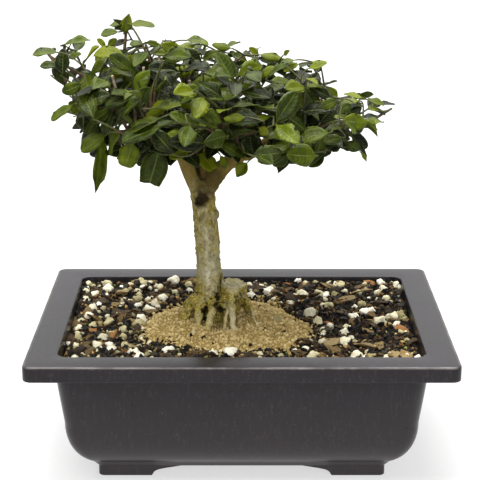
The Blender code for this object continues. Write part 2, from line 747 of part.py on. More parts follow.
def leaf_poses(base, axis, facing, size, chance):
    """The poses that a leaf on one side of a stem may take, best first."""
    end_leaf = facing.dot(axis) > 0.9
    lean = Vector((0, 0, 0))
    if end_leaf:
        outward = Vector((base.x - CROWN_CENTRE.x, base.y - CROWN_CENTRE.y - 0.03, 0)).normalized()
        lean = Matrix.Rotation(chance.uniform(-1.2, 1.2), 3, "Z") @ outward * 0.8 * axis.z
    length = size * chance.uniform(0.88, 1.1)
    width = length * chance.uniform(0.58, 0.68)
    spread = math.radians(0 if end_leaf else 90 - chance.uniform(48, 66))
    droop = chance.uniform(0.05, 0.40)
    upward = crown_normal(base) + LEAF_LIGHT + Vector([chance.uniform(-0.3, 0.3) for _ in range(3)])
    fold, arch = chance.uniform(0.15, 0.38), chance.uniform(0.05, 0.16)
    for tilt, turn, shrink in LEAF_TRIES:
        angle = spread + math.radians(turn)
        direction = facing * math.cos(angle) + axis * math.sin(angle) + lean - Vector((0, 0, droop))
        direction.normalize()
        normal = (upward - direction * upward.dot(direction)).normalized()
        normal = Matrix.Rotation(math.radians(tilt), 3, direction) @ normal
        yield leaf_matrix(base, direction, normal), length * shrink, width * shrink, fold, arch


def bounded(tree, points):
    """A search tree with the ball that holds its points, to pass over far pairs quickly."""
    centre = sum(points, Vector()) / len(points)
    return tree, centre, max((point - centre).length for point in points)


def object_shape(obj):
    points = [vert.co.copy() for vert in obj.data.vertices]
    faces = [tuple(face.vertices) for face in obj.data.polygons]
    return bounded(BVHTree.FromPolygons(points, faces), points)


def leaf_shape(pose):
    """A blade as thick as it has to keep clear, to test against the rest."""
    upper, lower = blade_points(pose, BLADE + 2 * LEAF_CLEARANCE)
    lift = Vector((0, 0, BLADE / 2 + LEAF_CLEARANCE))
    for points, side in ((upper, 1), (lower, -1)):
        ends = [pose[0] @ (Vector((0, y, 0)) + side * lift) for y in (PETIOLE / 2, -PETIOLE / 2)]
        points.insert(0, ends[0])
        points.insert(8, ends[1])
    faces = blade_faces(range(10), range(10, 20))
    return bounded(BVHTree.FromPolygons(upper + lower, faces), upper + lower)


def is_clear(shape, others):
    tree, centre, reach = shape
    for other, other_centre, other_reach in others:
        if (centre - other_centre).length < reach + other_reach and tree.overlap(other):
            return False
    return True


def grow_leaf(bm, face, pose):
    """Opens one side of the stem and grows the blade from its four corners."""
    corners = [vert for vert in face.verts]
    upper, lower = blade_points(pose, BLADE)
    ring = (upper[0], upper[6], lower[6], lower[0])
    orders = [corners[i:] + corners[:i] for i in range(4)]
    best = min(orders, key=lambda order: sum((v.co - p).length_squared for v, p in zip(order, ring)))
    bm.faces.remove(face)
    upper = [bm.verts.new(point) for point in upper]
    lower = [bm.verts.new(point) for point in lower]
    upper.insert(0, best[0])
    upper.insert(8, best[1])
    lower.insert(0, best[3])
    lower.insert(8, best[2])
    for points in blade_faces(upper, lower):
        bm.faces.new(points)


def make_spray(index, shoot, others, collection, material):
    """One leafy shoot: a square stem, and the leaves that find room along it, all one closed mesh."""
    _, _, pairs, size = SPRAYS[index - 1]
    rings, frames = stem_rings(shoot, pairs)
    bm = loft(rings)
    faces = list(bm.faces)
    axis, across, out = frames[-1]
    places = [(faces[-1], axis, axis, 0.85)]
    for pair in range(pairs):
        span = 2 * pair + 1
        axis, across, out = frames[span]
        upright = axis.z > 0.75 and pair % 2 == 1
        share = 1.0 - 0.1 * (pairs - 1 - pair) - 0.08 * pair
        for side, sign in ((0, 1), (2, -1)) if upright else ((3, 1), (1, -1)):
            places.append((faces[4 * span + side], axis, sign * (out if upright else across), share))
    taken = []
    for number, (face, axis, facing, share) in enumerate(places):
        chance = random.Random(100 * index + number)
        base = face.calc_center_median()
        for pose in leaf_poses(base, axis, facing, size * MM * share, chance):
            shape = leaf_shape(pose)
            if is_clear(shape, others + taken):
                taken.append(shape)
                grow_leaf(bm, face, pose)
                break
    add_mesh(f"spray_{index:02d}", bm, collection, material)
    return taken


def make_sprays(shoots, tree, collection, materials):
    """Every leafy spray, each leaf clear of all that stands before it."""
    stems = []
    for shoot, row in zip(shoots, SPRAYS):
        bm = loft(stem_rings(shoot, row[2])[0])
        points = [vert.co.copy() for vert in bm.verts]
        stems.append(bounded(BVHTree.FromBMesh(bm), points))
        bm.free()
    leaves = []
    wood = object_shape(tree)
    for i, shoot in enumerate(shoots):
        others = [wood] + stems[:i] + stems[i + 1:] + leaves
        leaves += make_spray(i + 1, shoot, others, collection, materials[i % len(materials)])


def main():
    clear_scene()
    collection = temporary_collection("privet_bonsai")
    cutters = temporary_collection("cutters")
    cutters.hide_render = True
    plastic = make_material("pot_plastic", (0.066, 0.057, 0.060), 0.5)
    netting = make_material("drain_netting", (0.010, 0.010, 0.010), 0.6)
    mix = make_material("potting_mix", (0.035, 0.026, 0.018), 0.95)
    sand = make_material("sandy_soil", (0.35, 0.25, 0.11), 0.95)
    bark = make_material("bark", (0.30, 0.26, 0.15), 0.85)
    old_leaf = make_material("old_leaf", (0.030, 0.065, 0.016), 0.4)
    new_leaf = make_material("new_leaf", (0.085, 0.150, 0.012), 0.4)

    make_pot(collection, cutters, plastic)
    make_drain_mesh("drain_mesh_left", -DRAIN_X, collection, cutters, netting)
    make_drain_mesh("drain_mesh_right", DRAIN_X, collection, cutters, netting)
    make_mix(collection, cutters, mix)
    make_mound(collection, make_root_cutters(cutters), sand)
    shoots = plan_shoots()
    tree = make_tree(shoots, collection, bark)
    make_sprays(shoots, tree, collection, [old_leaf, old_leaf, new_leaf])
    for obj in cutters.objects:
        obj.hide_render = True
        obj.display_type = "WIRE"


main()
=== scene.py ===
import json
import math
import random
from functools import partial

import bmesh
import bpy
from mathutils import Matrix, Vector, noise
from mathutils.bvhtree import BVHTree
from mathutils.kdtree import KDTree

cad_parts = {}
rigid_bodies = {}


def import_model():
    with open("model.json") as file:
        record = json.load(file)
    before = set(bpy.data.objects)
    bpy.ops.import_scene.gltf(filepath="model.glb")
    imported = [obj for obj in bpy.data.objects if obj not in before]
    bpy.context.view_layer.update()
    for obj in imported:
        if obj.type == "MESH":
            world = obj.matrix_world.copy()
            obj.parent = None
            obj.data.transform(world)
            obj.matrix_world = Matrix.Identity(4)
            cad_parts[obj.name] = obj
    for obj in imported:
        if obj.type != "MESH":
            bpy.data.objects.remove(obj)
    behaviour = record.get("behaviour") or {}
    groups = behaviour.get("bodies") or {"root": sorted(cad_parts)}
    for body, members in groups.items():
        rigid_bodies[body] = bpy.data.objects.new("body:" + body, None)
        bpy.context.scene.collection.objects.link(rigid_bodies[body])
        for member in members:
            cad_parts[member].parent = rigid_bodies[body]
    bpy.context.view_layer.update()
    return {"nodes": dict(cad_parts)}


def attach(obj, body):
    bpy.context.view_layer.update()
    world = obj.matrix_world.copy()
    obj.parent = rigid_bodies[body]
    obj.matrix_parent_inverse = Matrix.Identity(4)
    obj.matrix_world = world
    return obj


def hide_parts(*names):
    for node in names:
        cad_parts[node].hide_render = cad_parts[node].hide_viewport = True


# A small Chinese privet grown as a bonsai in a plastic training pot.
# Lengths in the settings are in millimetres, and mm turns them to metres where a mesh is made.
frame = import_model()
mm = 0.001
up = Vector((0, 0, 1))
print("frame loaded:", len(frame["nodes"]), "nodes")


# helpers

def linear(code):
    # an sRGB hex colour as the linear one that shaders take
    parts = [int(code[i:i + 2], 16) / 255 for i in (1, 3, 5)]
    return (*[p / 12.92 if p <= 0.04045 else ((p + 0.055) / 1.055) ** 2.4 for p in parts], 1.0)


def addNode(tree, kind, settings):
    # kind is a type, short for a shader node, or a node that is there already; a setting names a property or
    # a socket, to which a node or an output is linked, and a hex code is a colour
    known = isinstance(kind, bpy.types.Node)
    node = kind if known else tree.nodes.new(kind if "Node" in kind else "ShaderNode" + kind)
    for key, value in settings.items():
        if key == "stops":
            ramp = node.color_ramp.elements
            ramp.remove(ramp[1])
            ramp[0].position = value[0][0]
            for position, _ in value[1:]:
                ramp.new(position)
            for element, (_, code) in zip(ramp, value):
                element.color = linear(code)
        elif isinstance(key, str) and hasattr(node, key):
            setattr(node, key, value)
        elif isinstance(value, bpy.types.Node):
            tree.links.new([output for output in value.outputs if output.enabled][0], node.inputs[key])
        elif isinstance(value, bpy.types.NodeSocket):
            tree.links.new(value, node.inputs[key])
        else:
            node.inputs[key].default_value = linear(value) if str(value)[0] == "#" else value
    return node


def startMaterial(name, roughness, ior=1.5, gloss=0.5):
    material = bpy.data.materials.new(name)
    material.use_nodes = True
    tree = material.node_tree
    shader = tree.nodes["Principled BSDF"]
    add = partial(addNode, tree)
    add(shader, {"Roughness": roughness, "IOR": ior, "Specular IOR Level": gloss})
    return material, add, shader, add("TexCoord", {}).outputs["Object"]


def addObject(name, data):
    obj = bpy.data.objects.new(name, data)
    bpy.context.scene.collection.objects.link(obj)
    return obj


def addPiece(name, bm, material=None, smooth=True):
    mesh = bpy.data.meshes.new(name)
    bm.to_mesh(mesh)
    bm.free()
    if material:
        mesh.materials.append(material)
    if smooth:
        mesh.shade_smooth()
    return addObject(name, mesh)


def addValues(piece, name, values, kind="FLOAT"):
    # a value for each point, which materials and Geometry Nodes read by name
    data = piece.data.attributes.new(name, kind, "POINT").data
    data.foreach_set("vector" if kind == "FLOAT_VECTOR" else "value", values)


def bridge(bm, loops, wrap=True):
    # four-sided faces between each row of points and the next
    for lower, upper in zip(loops, loops[1:]):
        for i in range(len(lower) if wrap else len(lower) - 1):
            j = (i + 1) % len(lower)
            bm.faces.new((lower[i], lower[j], upper[j], upper[i]))


def plainMesh(obj):
    # what the modifiers make of an object, as a plain mesh
    bpy.context.view_layer.update()
    graph = bpy.context.evaluated_depsgraph_get()
    return bpy.data.meshes.new_from_object(obj.evaluated_get(graph))


def applyModifiers(obj):
    mesh = plainMesh(obj)
    obj.modifiers.clear()
    obj.data = mesh


def removeObjects(objects):
    for obj in list(objects):
        bpy.data.objects.remove(obj, do_unlink=True)


def cut(obj, cutter, operation="DIFFERENCE"):
    boolean = obj.modifiers.new("cut", "BOOLEAN")
    boolean.operation = operation
    boolean.solver = "EXACT"
    boolean.object = cutter
    applyModifiers(obj)
    removeObjects([cutter])


def dress(piece, material):
    piece.data.materials.clear()
    piece.data.materials.append(material)


def finishPiece(piece, slot, *nodes):
    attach(piece, "root")
    if nodes:
        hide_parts(*nodes)
    print(f"{piece.name}: {len(piece.data.polygons)} faces")


def makeShelf(name, shapes):
    # a collection of shapes to be repeated, kept out of the scene
    shelf = bpy.data.collections.new(name)
    for shape in shapes:
        bpy.context.scene.collection.objects.unlink(shape)
        shelf.objects.link(shape)
    return shelf


def clearShelf(shelf):
    removeObjects(shelf.objects)
    bpy.data.collections.remove(shelf)


def makeTree(name, inputs, build):
    # a Geometry Nodes tree with named inputs, which build fills in
    tree = bpy.data.node_groups.new(name, "GeometryNodeTree")
    tree.interface.new_socket(name="Geometry", in_out="OUTPUT", socket_type="NodeSocketGeometry")
    for label, kind in inputs.items():
        tree.interface.new_socket(name=label, in_out="INPUT", socket_type="NodeSocket" + kind)
    source = tree.nodes.new("NodeGroupInput").outputs
    add = partial(addNode, tree)
    real = add("GeometryNodeRealizeInstances", {0: build(add, source)})
    add("NodeGroupOutput", {0: add("GeometryNodeSetMaterial", {0: real, "Material": source["Material"]})})
    return tree


def runTree(name, base, tree, values):
    # the tree's result on a base object, as a plain mesh in an object of its own
    modifier = base.modifiers.new(name, "NODES")
    modifier.node_group = tree
    for item in tree.interface.items_tree:
        if item.in_out == "INPUT" and item.name in values:
            modifier[item.identifier] = values[item.name]
    piece = addObject(name, plainMesh(base))
    base.modifiers.remove(modifier)
    return piece


# camera, light and floor

studio = {
    "lens": 112.8, "sensor": 36,
    "cameraPlace": (-0.0009, -0.7704, 0.3355), "cameraPitch": 16.05,  # degrees down
    "world": 0.20,
    "lamps": (  # name, place, aim, width, spread in degrees, watts
        ("key", (-0.45, -0.5, 1.3), (0, 0, 0.12), 0.5, 180, 15.0),
        ("fill", (0.4, -1.4, 0.8), (0, 0, 0.12), 1.0, 180, 10.0),
        ("top", (0.05, 0.2, 1.5), (0, 0, 0.12), 0.7, 180, 20.0),
        ("low back", (0.0, 1.35, 0.56), (0, 0, 0.1), 1.3, 180, 5.0),
        ("floor", (0.0, -0.45, 0.8), (0, -0.38, 0), 0.3, 60, 0.6),
        ("backdrop", (0.0, 1.5, 1.6), (0, 2.2, 0), 2.6, 180, 70.0),
    ),
    "floor": ("#8c8c8b", "#949493"), "floorGlow": 0.62, "floorReach": 6,
}


def makeStudio():
    scene = bpy.context.scene
    scene.view_settings.view_transform = "Standard"
    lens = bpy.data.cameras.new("camera")
    lens.lens = studio["lens"]
    lens.sensor_width = studio["sensor"]
    camera = addObject("camera", lens)
    camera.location = studio["cameraPlace"]
    camera.rotation_euler = (math.radians(90 - studio["cameraPitch"]), 0, 0)
    scene.camera = camera

    world = bpy.data.worlds.new("white room")
    world.use_nodes = True
    scene.world = world
    room = world.node_tree
    addNode(room, room.nodes["Background"], {"Color": "#ffffff", "Strength": studio["world"]})

    for name, place, target, width, spread, watts in studio["lamps"]:
        light = bpy.data.lights.new(name, "AREA")
        light.size = width
        light.spread = math.radians(spread)
        light.energy = watts
        lamp = addObject(name, light)
        lamp.location = place
        lamp.rotation_euler = (Vector(target) - lamp.location).to_track_quat("-Z", "Y").to_euler()

    # opal acrylic lit from below, as a product table is: white, with hardly a shadow on it
    material, add, shader, place = startMaterial("lit opal acrylic", 0.9)
    grain = add("TexNoise", {"Scale": 400, "Vector": place})
    tone = add("Mix", {"data_type": "RGBA", 0: grain, 6: studio["floor"][0], 7: studio["floor"][1]})
    add(shader, {"Base Color": tone, "Emission Color": "#ffffff", "Emission Strength": studio["floorGlow"]})
    bm = bmesh.new()
    bmesh.ops.create_grid(bm, x_segments=1, y_segments=1, size=studio["floorReach"])
    addPiece("floor", bm, material)
    print("studio made")


# pot

potSizes = {
    "rimWidth": 216, "rimDepth": 165, "height": 72.6, "band": 8.0, "plate": 2.2, "cornerSteps": 9,
    # the wall's inside from the floor up: inset, height, corner radius and the fillet that rounds it
    "inside": ((33.0, 9.0, 4.0, 0), (29.5, 11.8, 5.0, 1.6), (25.0, 18.0, 6.0, 3.5), (21.0, 29.0, 6.5, 5.0),
               (16.8, 56.0, 6.5, 5.0), (15.6, 72.6, 6.5, 1.0)),
    "turnTop": 34.0, "turnInset": 17.5, "turnDrop": 27.0, "turnReach": 20.8, "turnAngle": 65, "turnSteps": 10,
    "footInset": 33.3, "footWall": 3.2, "footHeight": 6.0, "footBevel": 0.35,
    "archTop": 57.0, "archEndsShorter": 12.0, "archSpread": 18.5,
    "archCurve": ((0.2, 0.93), (0.4, 0.82), (0.6, 0.72), (0.78, 0.6), (0.87, 0.5), (0.93, 0.36), (1.0, 0.0)),
    "drainRadius": 6.0, "drainX": 40.0,
}
potColours = {
    "body": ((0.3, "#110d11"), (0.5, "#151015"), (0.75, "#1b161b")),
    # the dust's colour, which also paints the floor's bounce light low on the body
    "dustAndBounceTone": "#756e71",
    # the wear's colour, which also paints the rim edge's highlight
    "wearAndHighlightTone": "#a59e98",
}


def roundedRing(inset, z, radius):
    # a rounded rectangle, anticlockwise from above
    halfX, halfY = potSizes["rimWidth"] / 2 - inset, potSizes["rimDepth"] / 2 - inset
    steps = potSizes["cornerSteps"]
    ring = []
    for sideX, sideY, start in ((1, 1, 0), (-1, 1, 90), (-1, -1, 180), (1, -1, 270)):
        for step in range(steps + 1):
            angle = math.radians(start + 90 * step / steps)
            ring.append(Vector((sideX * (halfX - radius) + radius * math.cos(angle),
                                sideY * (halfY - radius) + radius * math.sin(angle), z)) * mm)
    return ring


def rounded(profile):
    # each corner of the profile that has a fillet becomes a short curve
    result = []
    for i, (inset, z, radius, fillet) in enumerate(profile):
        if not fillet:
            result.append((inset, z, radius))
            continue
        here = Vector((inset, z, radius))
        before = Vector(profile[i - 1][:3]) - here
        after = Vector(profile[i + 1][:3]) - here
        first = here + before * min(0.45, fillet / before.length)
        last = here + after * min(0.45, fillet / after.length)
        for t in (0, 0.25, 0.5, 0.75, 1):
            result.append(tuple((1 - t) ** 2 * first + 2 * t * (1 - t) * here + t * t * last))
    return result


def loft(profile, closed=False):
    bm = bmesh.new()
    loops = [[bm.verts.new(point) for point in roundedRing(*ring)] for ring in profile]
    bridge(bm, loops + loops[:1] if closed else loops)
    if not closed:
        bm.faces.new(list(reversed(loops[0])))
        bm.faces.new(loops[-1])
    bmesh.ops.recalc_face_normals(bm, faces=bm.faces)
    return bm


def plasticMaterial():
    # injection-moulded polypropylene: satin, faintly mottled and dusty, lightened low down by painted bounce
    # light from the floor, and rubbed pale along the rim, where the pale edge is also a painted highlight
    material, add, shader, place = startMaterial("moulded polypropylene", 0.42, 1.49, 0.3)
    x, y, z = add("SeparateXYZ", {0: place}).outputs
    mottle = add("TexNoise", {"Scale": 38, "Detail": 6, "Roughness": 0.6, "Vector": place})
    body = add("ValToRGB", {"stops": potColours["body"], 0: mottle})

    # dust: fine specks and drag marks, drawn 0.5 mm wide so that they show
    drag = add("Mapping", {"Scale": (700, 700, 160), "Vector": place})
    streak = add("TexNoise", {"Scale": 1, "Detail": 3, "Vector": drag})
    specks = add("TexNoise", {"Scale": 1400, "Detail": 2, "Vector": place})
    both = add("Math", {"operation": "MULTIPLY", 0: streak, 1: specks})
    dusty = add("MapRange", {"Value": both, "From Min": 0.28, "From Max": 0.48, "To Max": 0.14})
    # painted bounce light: the body turns paler towards its foot, as if lit from the white floor
    lower = add("MapRange", {"Value": z, "From Min": 0.060, "From Max": 0.006, "To Max": 0.17})
    dustAndBounce = add("Math", {"operation": "ADD", 0: dusty, 1: lower})
    dustedAndBounceLit = add("Mix", {"data_type": "RGBA", 0: dustAndBounce, 6: body, 7: potColours["dustAndBounceTone"]})

    # wear along the rim's outer top edge, in patches, which also paints the highlight that the rounded edge
    # catches
    top = potSizes["height"]
    wearAndHighlight = add("MapRange", {"Value": z, "From Min": (top - 1.2) * mm, "From Max": (top - 0.2) * mm})
    edges = []
    for side, half in ((x, potSizes["rimWidth"] / 2), (y, potSizes["rimDepth"] / 2)):
        away = add("Math", {"operation": "ABSOLUTE", 0: side})
        edges.append(add("MapRange", {
            "Value": away, "From Min": (half - 1.6) * mm, "From Max": (half - 0.4) * mm}))
    edge = add("Math", {"operation": "MAXIMUM", 0: edges[0], 1: edges[1]})
    patches = add("TexNoise", {"Scale": 90, "Detail": 4, "Vector": place})
    share = add("MapRange", {
        "Value": patches, "From Min": 0.35, "From Max": 0.7, "To Min": 0.1, "To Max": 0.45})
    for factor in (edge, share):
        wearAndHighlight = add("Math", {"operation": "MULTIPLY", 0: wearAndHighlight, 1: factor})
    colour = add("Mix", {"data_type": "RGBA", 0: wearAndHighlight, 6: dustedAndBounceLit, 7: potColours["wearAndHighlightTone"]})

    rough = add("MapRange", {"Value": mottle, "To Min": 0.22, "To Max": 0.40})
    grain = add("TexNoise", {"Scale": 2600, "Detail": 2, "Vector": place})
    bump = add("Bump", {"Strength": 0.12, "Distance": 0.0002, "Height": grain})
    add(shader, {"Base Color": colour, "Roughness": rough, "Normal": bump})
    return material


def archCutter(lengthways):
    # a low arch under the pot, from one side to the other
    s = potSizes
    half = s["archTop"] / 2 - (s["archEndsShorter"] if lengthways else 0.0)
    outline = [(-half, s["footHeight"]), (half, s["footHeight"])]
    outline += [(half + s["archSpread"] * out, s["footHeight"] * high) for out, high in s["archCurve"]]
    outline.append((outline[-1][0], -2.0))
    outline += [(-x, z) for x, z in reversed(outline[2:])]
    bm = bmesh.new()
    face = bm.faces.new([bm.verts.new((x * mm, -0.12, z * mm)) for x, z in outline])
    swept = bmesh.ops.extrude_face_region(bm, geom=[face])["geom"]
    bmesh.ops.translate(bm, verts=[v for v in swept if isinstance(v, bmesh.types.BMVert)], vec=(0, 0.24, 0))
    if lengthways:
        bmesh.ops.rotate(bm, verts=bm.verts, matrix=Matrix.Rotation(math.pi / 2, 3, "Z"))
    bmesh.ops.recalc_face_normals(bm, faces=bm.faces)
    return addPiece("arch", bm)


def makePot():
    s = potSizes
    top, under, footLow = s["height"], s["height"] - s["plate"], s["footBevel"]
    lip = [
        (0.0, top, 4.5, 1.0), (0.0, top - s["band"], 4.5, 0.8), (s["plate"], top - s["band"], 3.5, 0.6),
        (s["plate"], under, 3.5, 0.9), (13.8, under, 9.0, 0.9), (14.5, 56.0, 9.0, 4.0),
    ]
    turn = []
    for step in range(s["turnSteps"] + 1):
        share = step / s["turnSteps"]
        angle = math.radians(s["turnAngle"] * share)
        turn.append((s["turnInset"] + s["turnReach"] * (1 - math.cos(angle)),
                     s["turnTop"] - s["turnDrop"] * math.sin(angle), 8.5 - 4.0 * share, 0))
    base = [(30.2, 9.0, 4.0, 1.0), (32.6, s["footHeight"], 3.5, 0)]
    pot = addPiece("pot_shell", loft(rounded(list(s["inside"]) + lip + turn + base)))

    outside, inside = s["footInset"], s["footInset"] + s["footWall"]
    ring = [(outside, 6.6, 3.0), (outside, footLow, 3.0), (outside + footLow, 0.0, 2.8), (inside, 0.0, 2.0),
            (inside, 6.6, 2.0)]
    cut(pot, addPiece("feet", loft(ring, closed=True)), "UNION")
    for lengthways in (True, False):
        cut(pot, archCutter(lengthways))
    for side in (-1, 1):
        bm = bmesh.new()
        radius = s["drainRadius"] * mm
        bmesh.ops.create_cone(bm, cap_ends=True, segments=40, radius1=radius, radius2=radius, depth=0.01,
                              matrix=Matrix.Translation((side * s["drainX"] * mm, 0, 0.0075)))
        cut(pot, addPiece("drain", bm))
    dress(pot, plasticMaterial())
    pot.data.shade_smooth()
    pot.data.set_sharp_from_angle(angle=math.radians(32))
    finishPiece(pot, "pot_plastic", "pot")


def dressNetting():
    # extruded polyethylene netting: black, slightly waxy
    material, add, shader, place = startMaterial("polyethylene netting", 0.5, 1.5)
    grain = add("TexNoise", {"Scale": 700, "Detail": 3, "Vector": place})
    colour = add("Mix", {"data_type": "RGBA", 0: grain, 6: "#141414", 7: "#2b2a28"})
    bump = add("Bump", {"Strength": 0.3, "Distance": 0.0002, "Height": grain})
    add(shader, {"Base Color": colour, "Normal": bump})
    for name in ("drain_mesh_left", "drain_mesh_right"):
        dress(frame["nodes"][name], material)


# potting mix and mound

soilSizes = {
    "level": 64.8, "backRise": 5.6, "wallGap": 0.3, "gridStep": 1.15, "topInset": 15.9, "topCorner": 6.5,
    "moundCentre": (-7.5, -1.0), "moundRadius": 43.0, "moundHeight": 7.8, "moundTilt": 0.07,
    "moundBottom": 52.0, "moundTaper": 0.8, "moundShoulder": 3.0, "moundPoints": 220, "moundRings": 46,
    "pit": (-9.5, -10.0), "pitDepth": 4.2, "pitRadius": 9.0,
    "groundGrid": (120, 90), "groundInset": 17.2, "groundCorner": 6.0,
}


def limited(value, low=0.0, high=1.0):
    return min(high, max(low, value))


def moundOutline(angle):
    wave = 0.07 * math.cos(2 * angle + 0.6) + 0.05 * math.cos(3 * angle + 2.1) + 0.03 * math.cos(7 * angle)
    return soilSizes["moundRadius"] * (1 + wave)


def moundShare(x, y):
    # 0 in the mound's middle and 1 at its edge
    dx, dy = x - soilSizes["moundCentre"][0], y - soilSizes["moundCentre"][1]
    return math.hypot(dx, dy) / moundOutline(math.atan2(dy, dx))


def moundHeight(x, y):
    s = soilSizes
    share = min(1.0, moundShare(x, y))
    pit = s["pitDepth"] * math.exp(-(math.hypot(x - s["pit"][0], y - s["pit"][1]) / s["pitRadius"]) ** 2)
    rise = s["moundHeight"] + s["moundTilt"] * (y - s["moundCentre"][1])
    return s["level"] - 0.4 + rise * (1 - share ** 2.6) - pit


def mixHeight(x, y):
    rise = soilSizes["backRise"] * max(0.0, y / 82.5)
    grain = math.sin(x * 1.1 + 3 * math.sin(y * 0.7)) * math.sin(y * 1.2 + 2 * math.sin(x * 0.9))
    swell = math.sin(x * 0.095 + 1.0) * math.cos(y * 0.12)
    crumbs = 0.9 * noise.noise(Vector((x, y, 3.0)) / 2.6) + 0.5 * noise.noise(Vector((x, y, 9.0)) / 1.1)
    return soilSizes["level"] + rise + 0.8 * grain + 0.7 * swell + crumbs


def wallGrid(columns, rows, inset, radius):
    # rows of places that fill the pot's rounded rectangle at this inset
    halfX, halfY = potSizes["rimWidth"] / 2 - inset, potSizes["rimDepth"] / 2 - inset
    grid = [[((2 * column / columns - 1) * halfX, (2 * row / rows - 1) * halfY)
             for column in range(columns + 1)] for row in range(rows + 1)]
    for line in grid:
        for column, (x, y) in enumerate(line):
            beyondX, beyondY = abs(x) - (halfX - radius), abs(y) - (halfY - radius)
            if beyondX > 0 and beyondY > 0:
                scale = max(beyondX, beyondY) / math.hypot(beyondX, beyondY)
                line[column] = (math.copysign(halfX - radius + beyondX * scale, x),
                                math.copysign(halfY - radius + beyondY * scale, y))
    return grid


def makeMix(material):
    # the top is a fine grid with a hollow for the root ball, and the sides follow the pot's wall
    s = soilSizes
    gap, taper, bottom = s["wallGap"], s["moundTaper"], s["moundBottom"]
    inset = s["topInset"] + gap
    columns = int((potSizes["rimWidth"] - 2 * inset) / s["gridStep"])
    rows = int((potSizes["rimDepth"] - 2 * inset) / s["gridStep"])
    bm = bmesh.new()
    grid = []
    for places in wallGrid(columns, rows, inset, s["topCorner"]):
        line = []
        for x, y in places:
            share = moundShare(x, y)
            slope = max(0.0, share - taper) / (1 - taper) * (s["level"] - s["moundShoulder"] - bottom)
            z = mixHeight(x, y) if share >= 1.01 else bottom + slope - gap
            line.append(bm.verts.new((x * mm, y * mm, z * mm)))
        grid.append(line)
    bridge(bm, grid, wrap=False)
    edge = [(0, c) for c in range(columns)] + [(r, columns) for r in range(rows)]
    edge += [(rows, c) for c in range(columns, 0, -1)] + [(r, 0) for r in range(rows, 0, -1)]
    loops = [[grid[r][c] for r, c in edge]]
    for inset, z, radius, _ in reversed(potSizes["inside"][:-1]):
        wall = wallGrid(columns, rows, inset + gap, radius)
        loops.insert(0, [bm.verts.new(Vector((*wall[r][c], z + gap)) * mm) for r, c in edge])
    bridge(bm, loops)
    bm.faces.new(list(reversed(loops[0])))
    bmesh.ops.recalc_face_normals(bm, faces=bm.faces)
    finishPiece(addPiece("potting_mix_body", bm, material), "potting_mix", "potting_mix")


def makeMound(material):
    s = soilSizes
    centreX, centreY = s["moundCentre"]
    rings = [(s["moundTaper"], s["moundBottom"]), (1.0, s["level"] - s["moundShoulder"])]
    rings += [(1 - step / s["moundRings"], None) for step in range(s["moundRings"])]
    bm = bmesh.new()
    loops = []
    for share, level in rings:
        loop = []
        for i in range(s["moundPoints"]):
            angle = 2 * math.pi * i / s["moundPoints"]
            x = centreX + moundOutline(angle) * share * math.cos(angle)
            y = centreY + moundOutline(angle) * share * math.sin(angle)
            rough = 0.35 * noise.noise(Vector((x, y, 1)) / 1.3) + 0.7 * noise.noise(Vector((x, y, 5)) / 6)
            loop.append(bm.verts.new(Vector((x, y, level or moundHeight(x, y) + rough)) * mm))
        loops.append(loop)
    bridge(bm, loops)
    bm.faces.new(list(reversed(loops[0])))
    middle = bm.verts.new(Vector((centreX, centreY, moundHeight(centreX, centreY))) * mm)
    for here, after in zip(loops[-1], loops[-1][1:] + loops[-1][:1]):
        bm.faces.new((here, after, middle))
    bmesh.ops.recalc_face_normals(bm, faces=bm.faces)
    finishPiece(addPiece("sandy_mound_body", bm, material), "sandy_soil", "sandy_mound")


def earthMaterial(name, stops, scale, roughness, bumpSize):
    # loose matter: the colour wanders from grain to grain and within each
    material, add, shader, place = startMaterial(name, roughness, 1.5, 0.2)
    own = add("Attribute", {"attribute_name": "tint"}).outputs["Fac"]
    spots = add("TexNoise", {"Scale": scale, "Detail": 4, "Roughness": 0.65, "Vector": place})
    shift = add("MapRange", {"Value": spots, "To Min": -0.22, "To Max": 0.22})
    total = add("Math", {"operation": "ADD", "use_clamp": True, 0: own, 1: shift})
    colour = add("ValToRGB", {"stops": stops, 0: total})
    fine = add("TexNoise", {"Scale": scale * 2.5, "Detail": 5, "Roughness": 0.7, "Vector": place})
    bump = add("Bump", {"Strength": 0.8, "Distance": bumpSize, "Height": fine})
    add(shader, {"Base Color": colour, "Normal": bump})
    return material


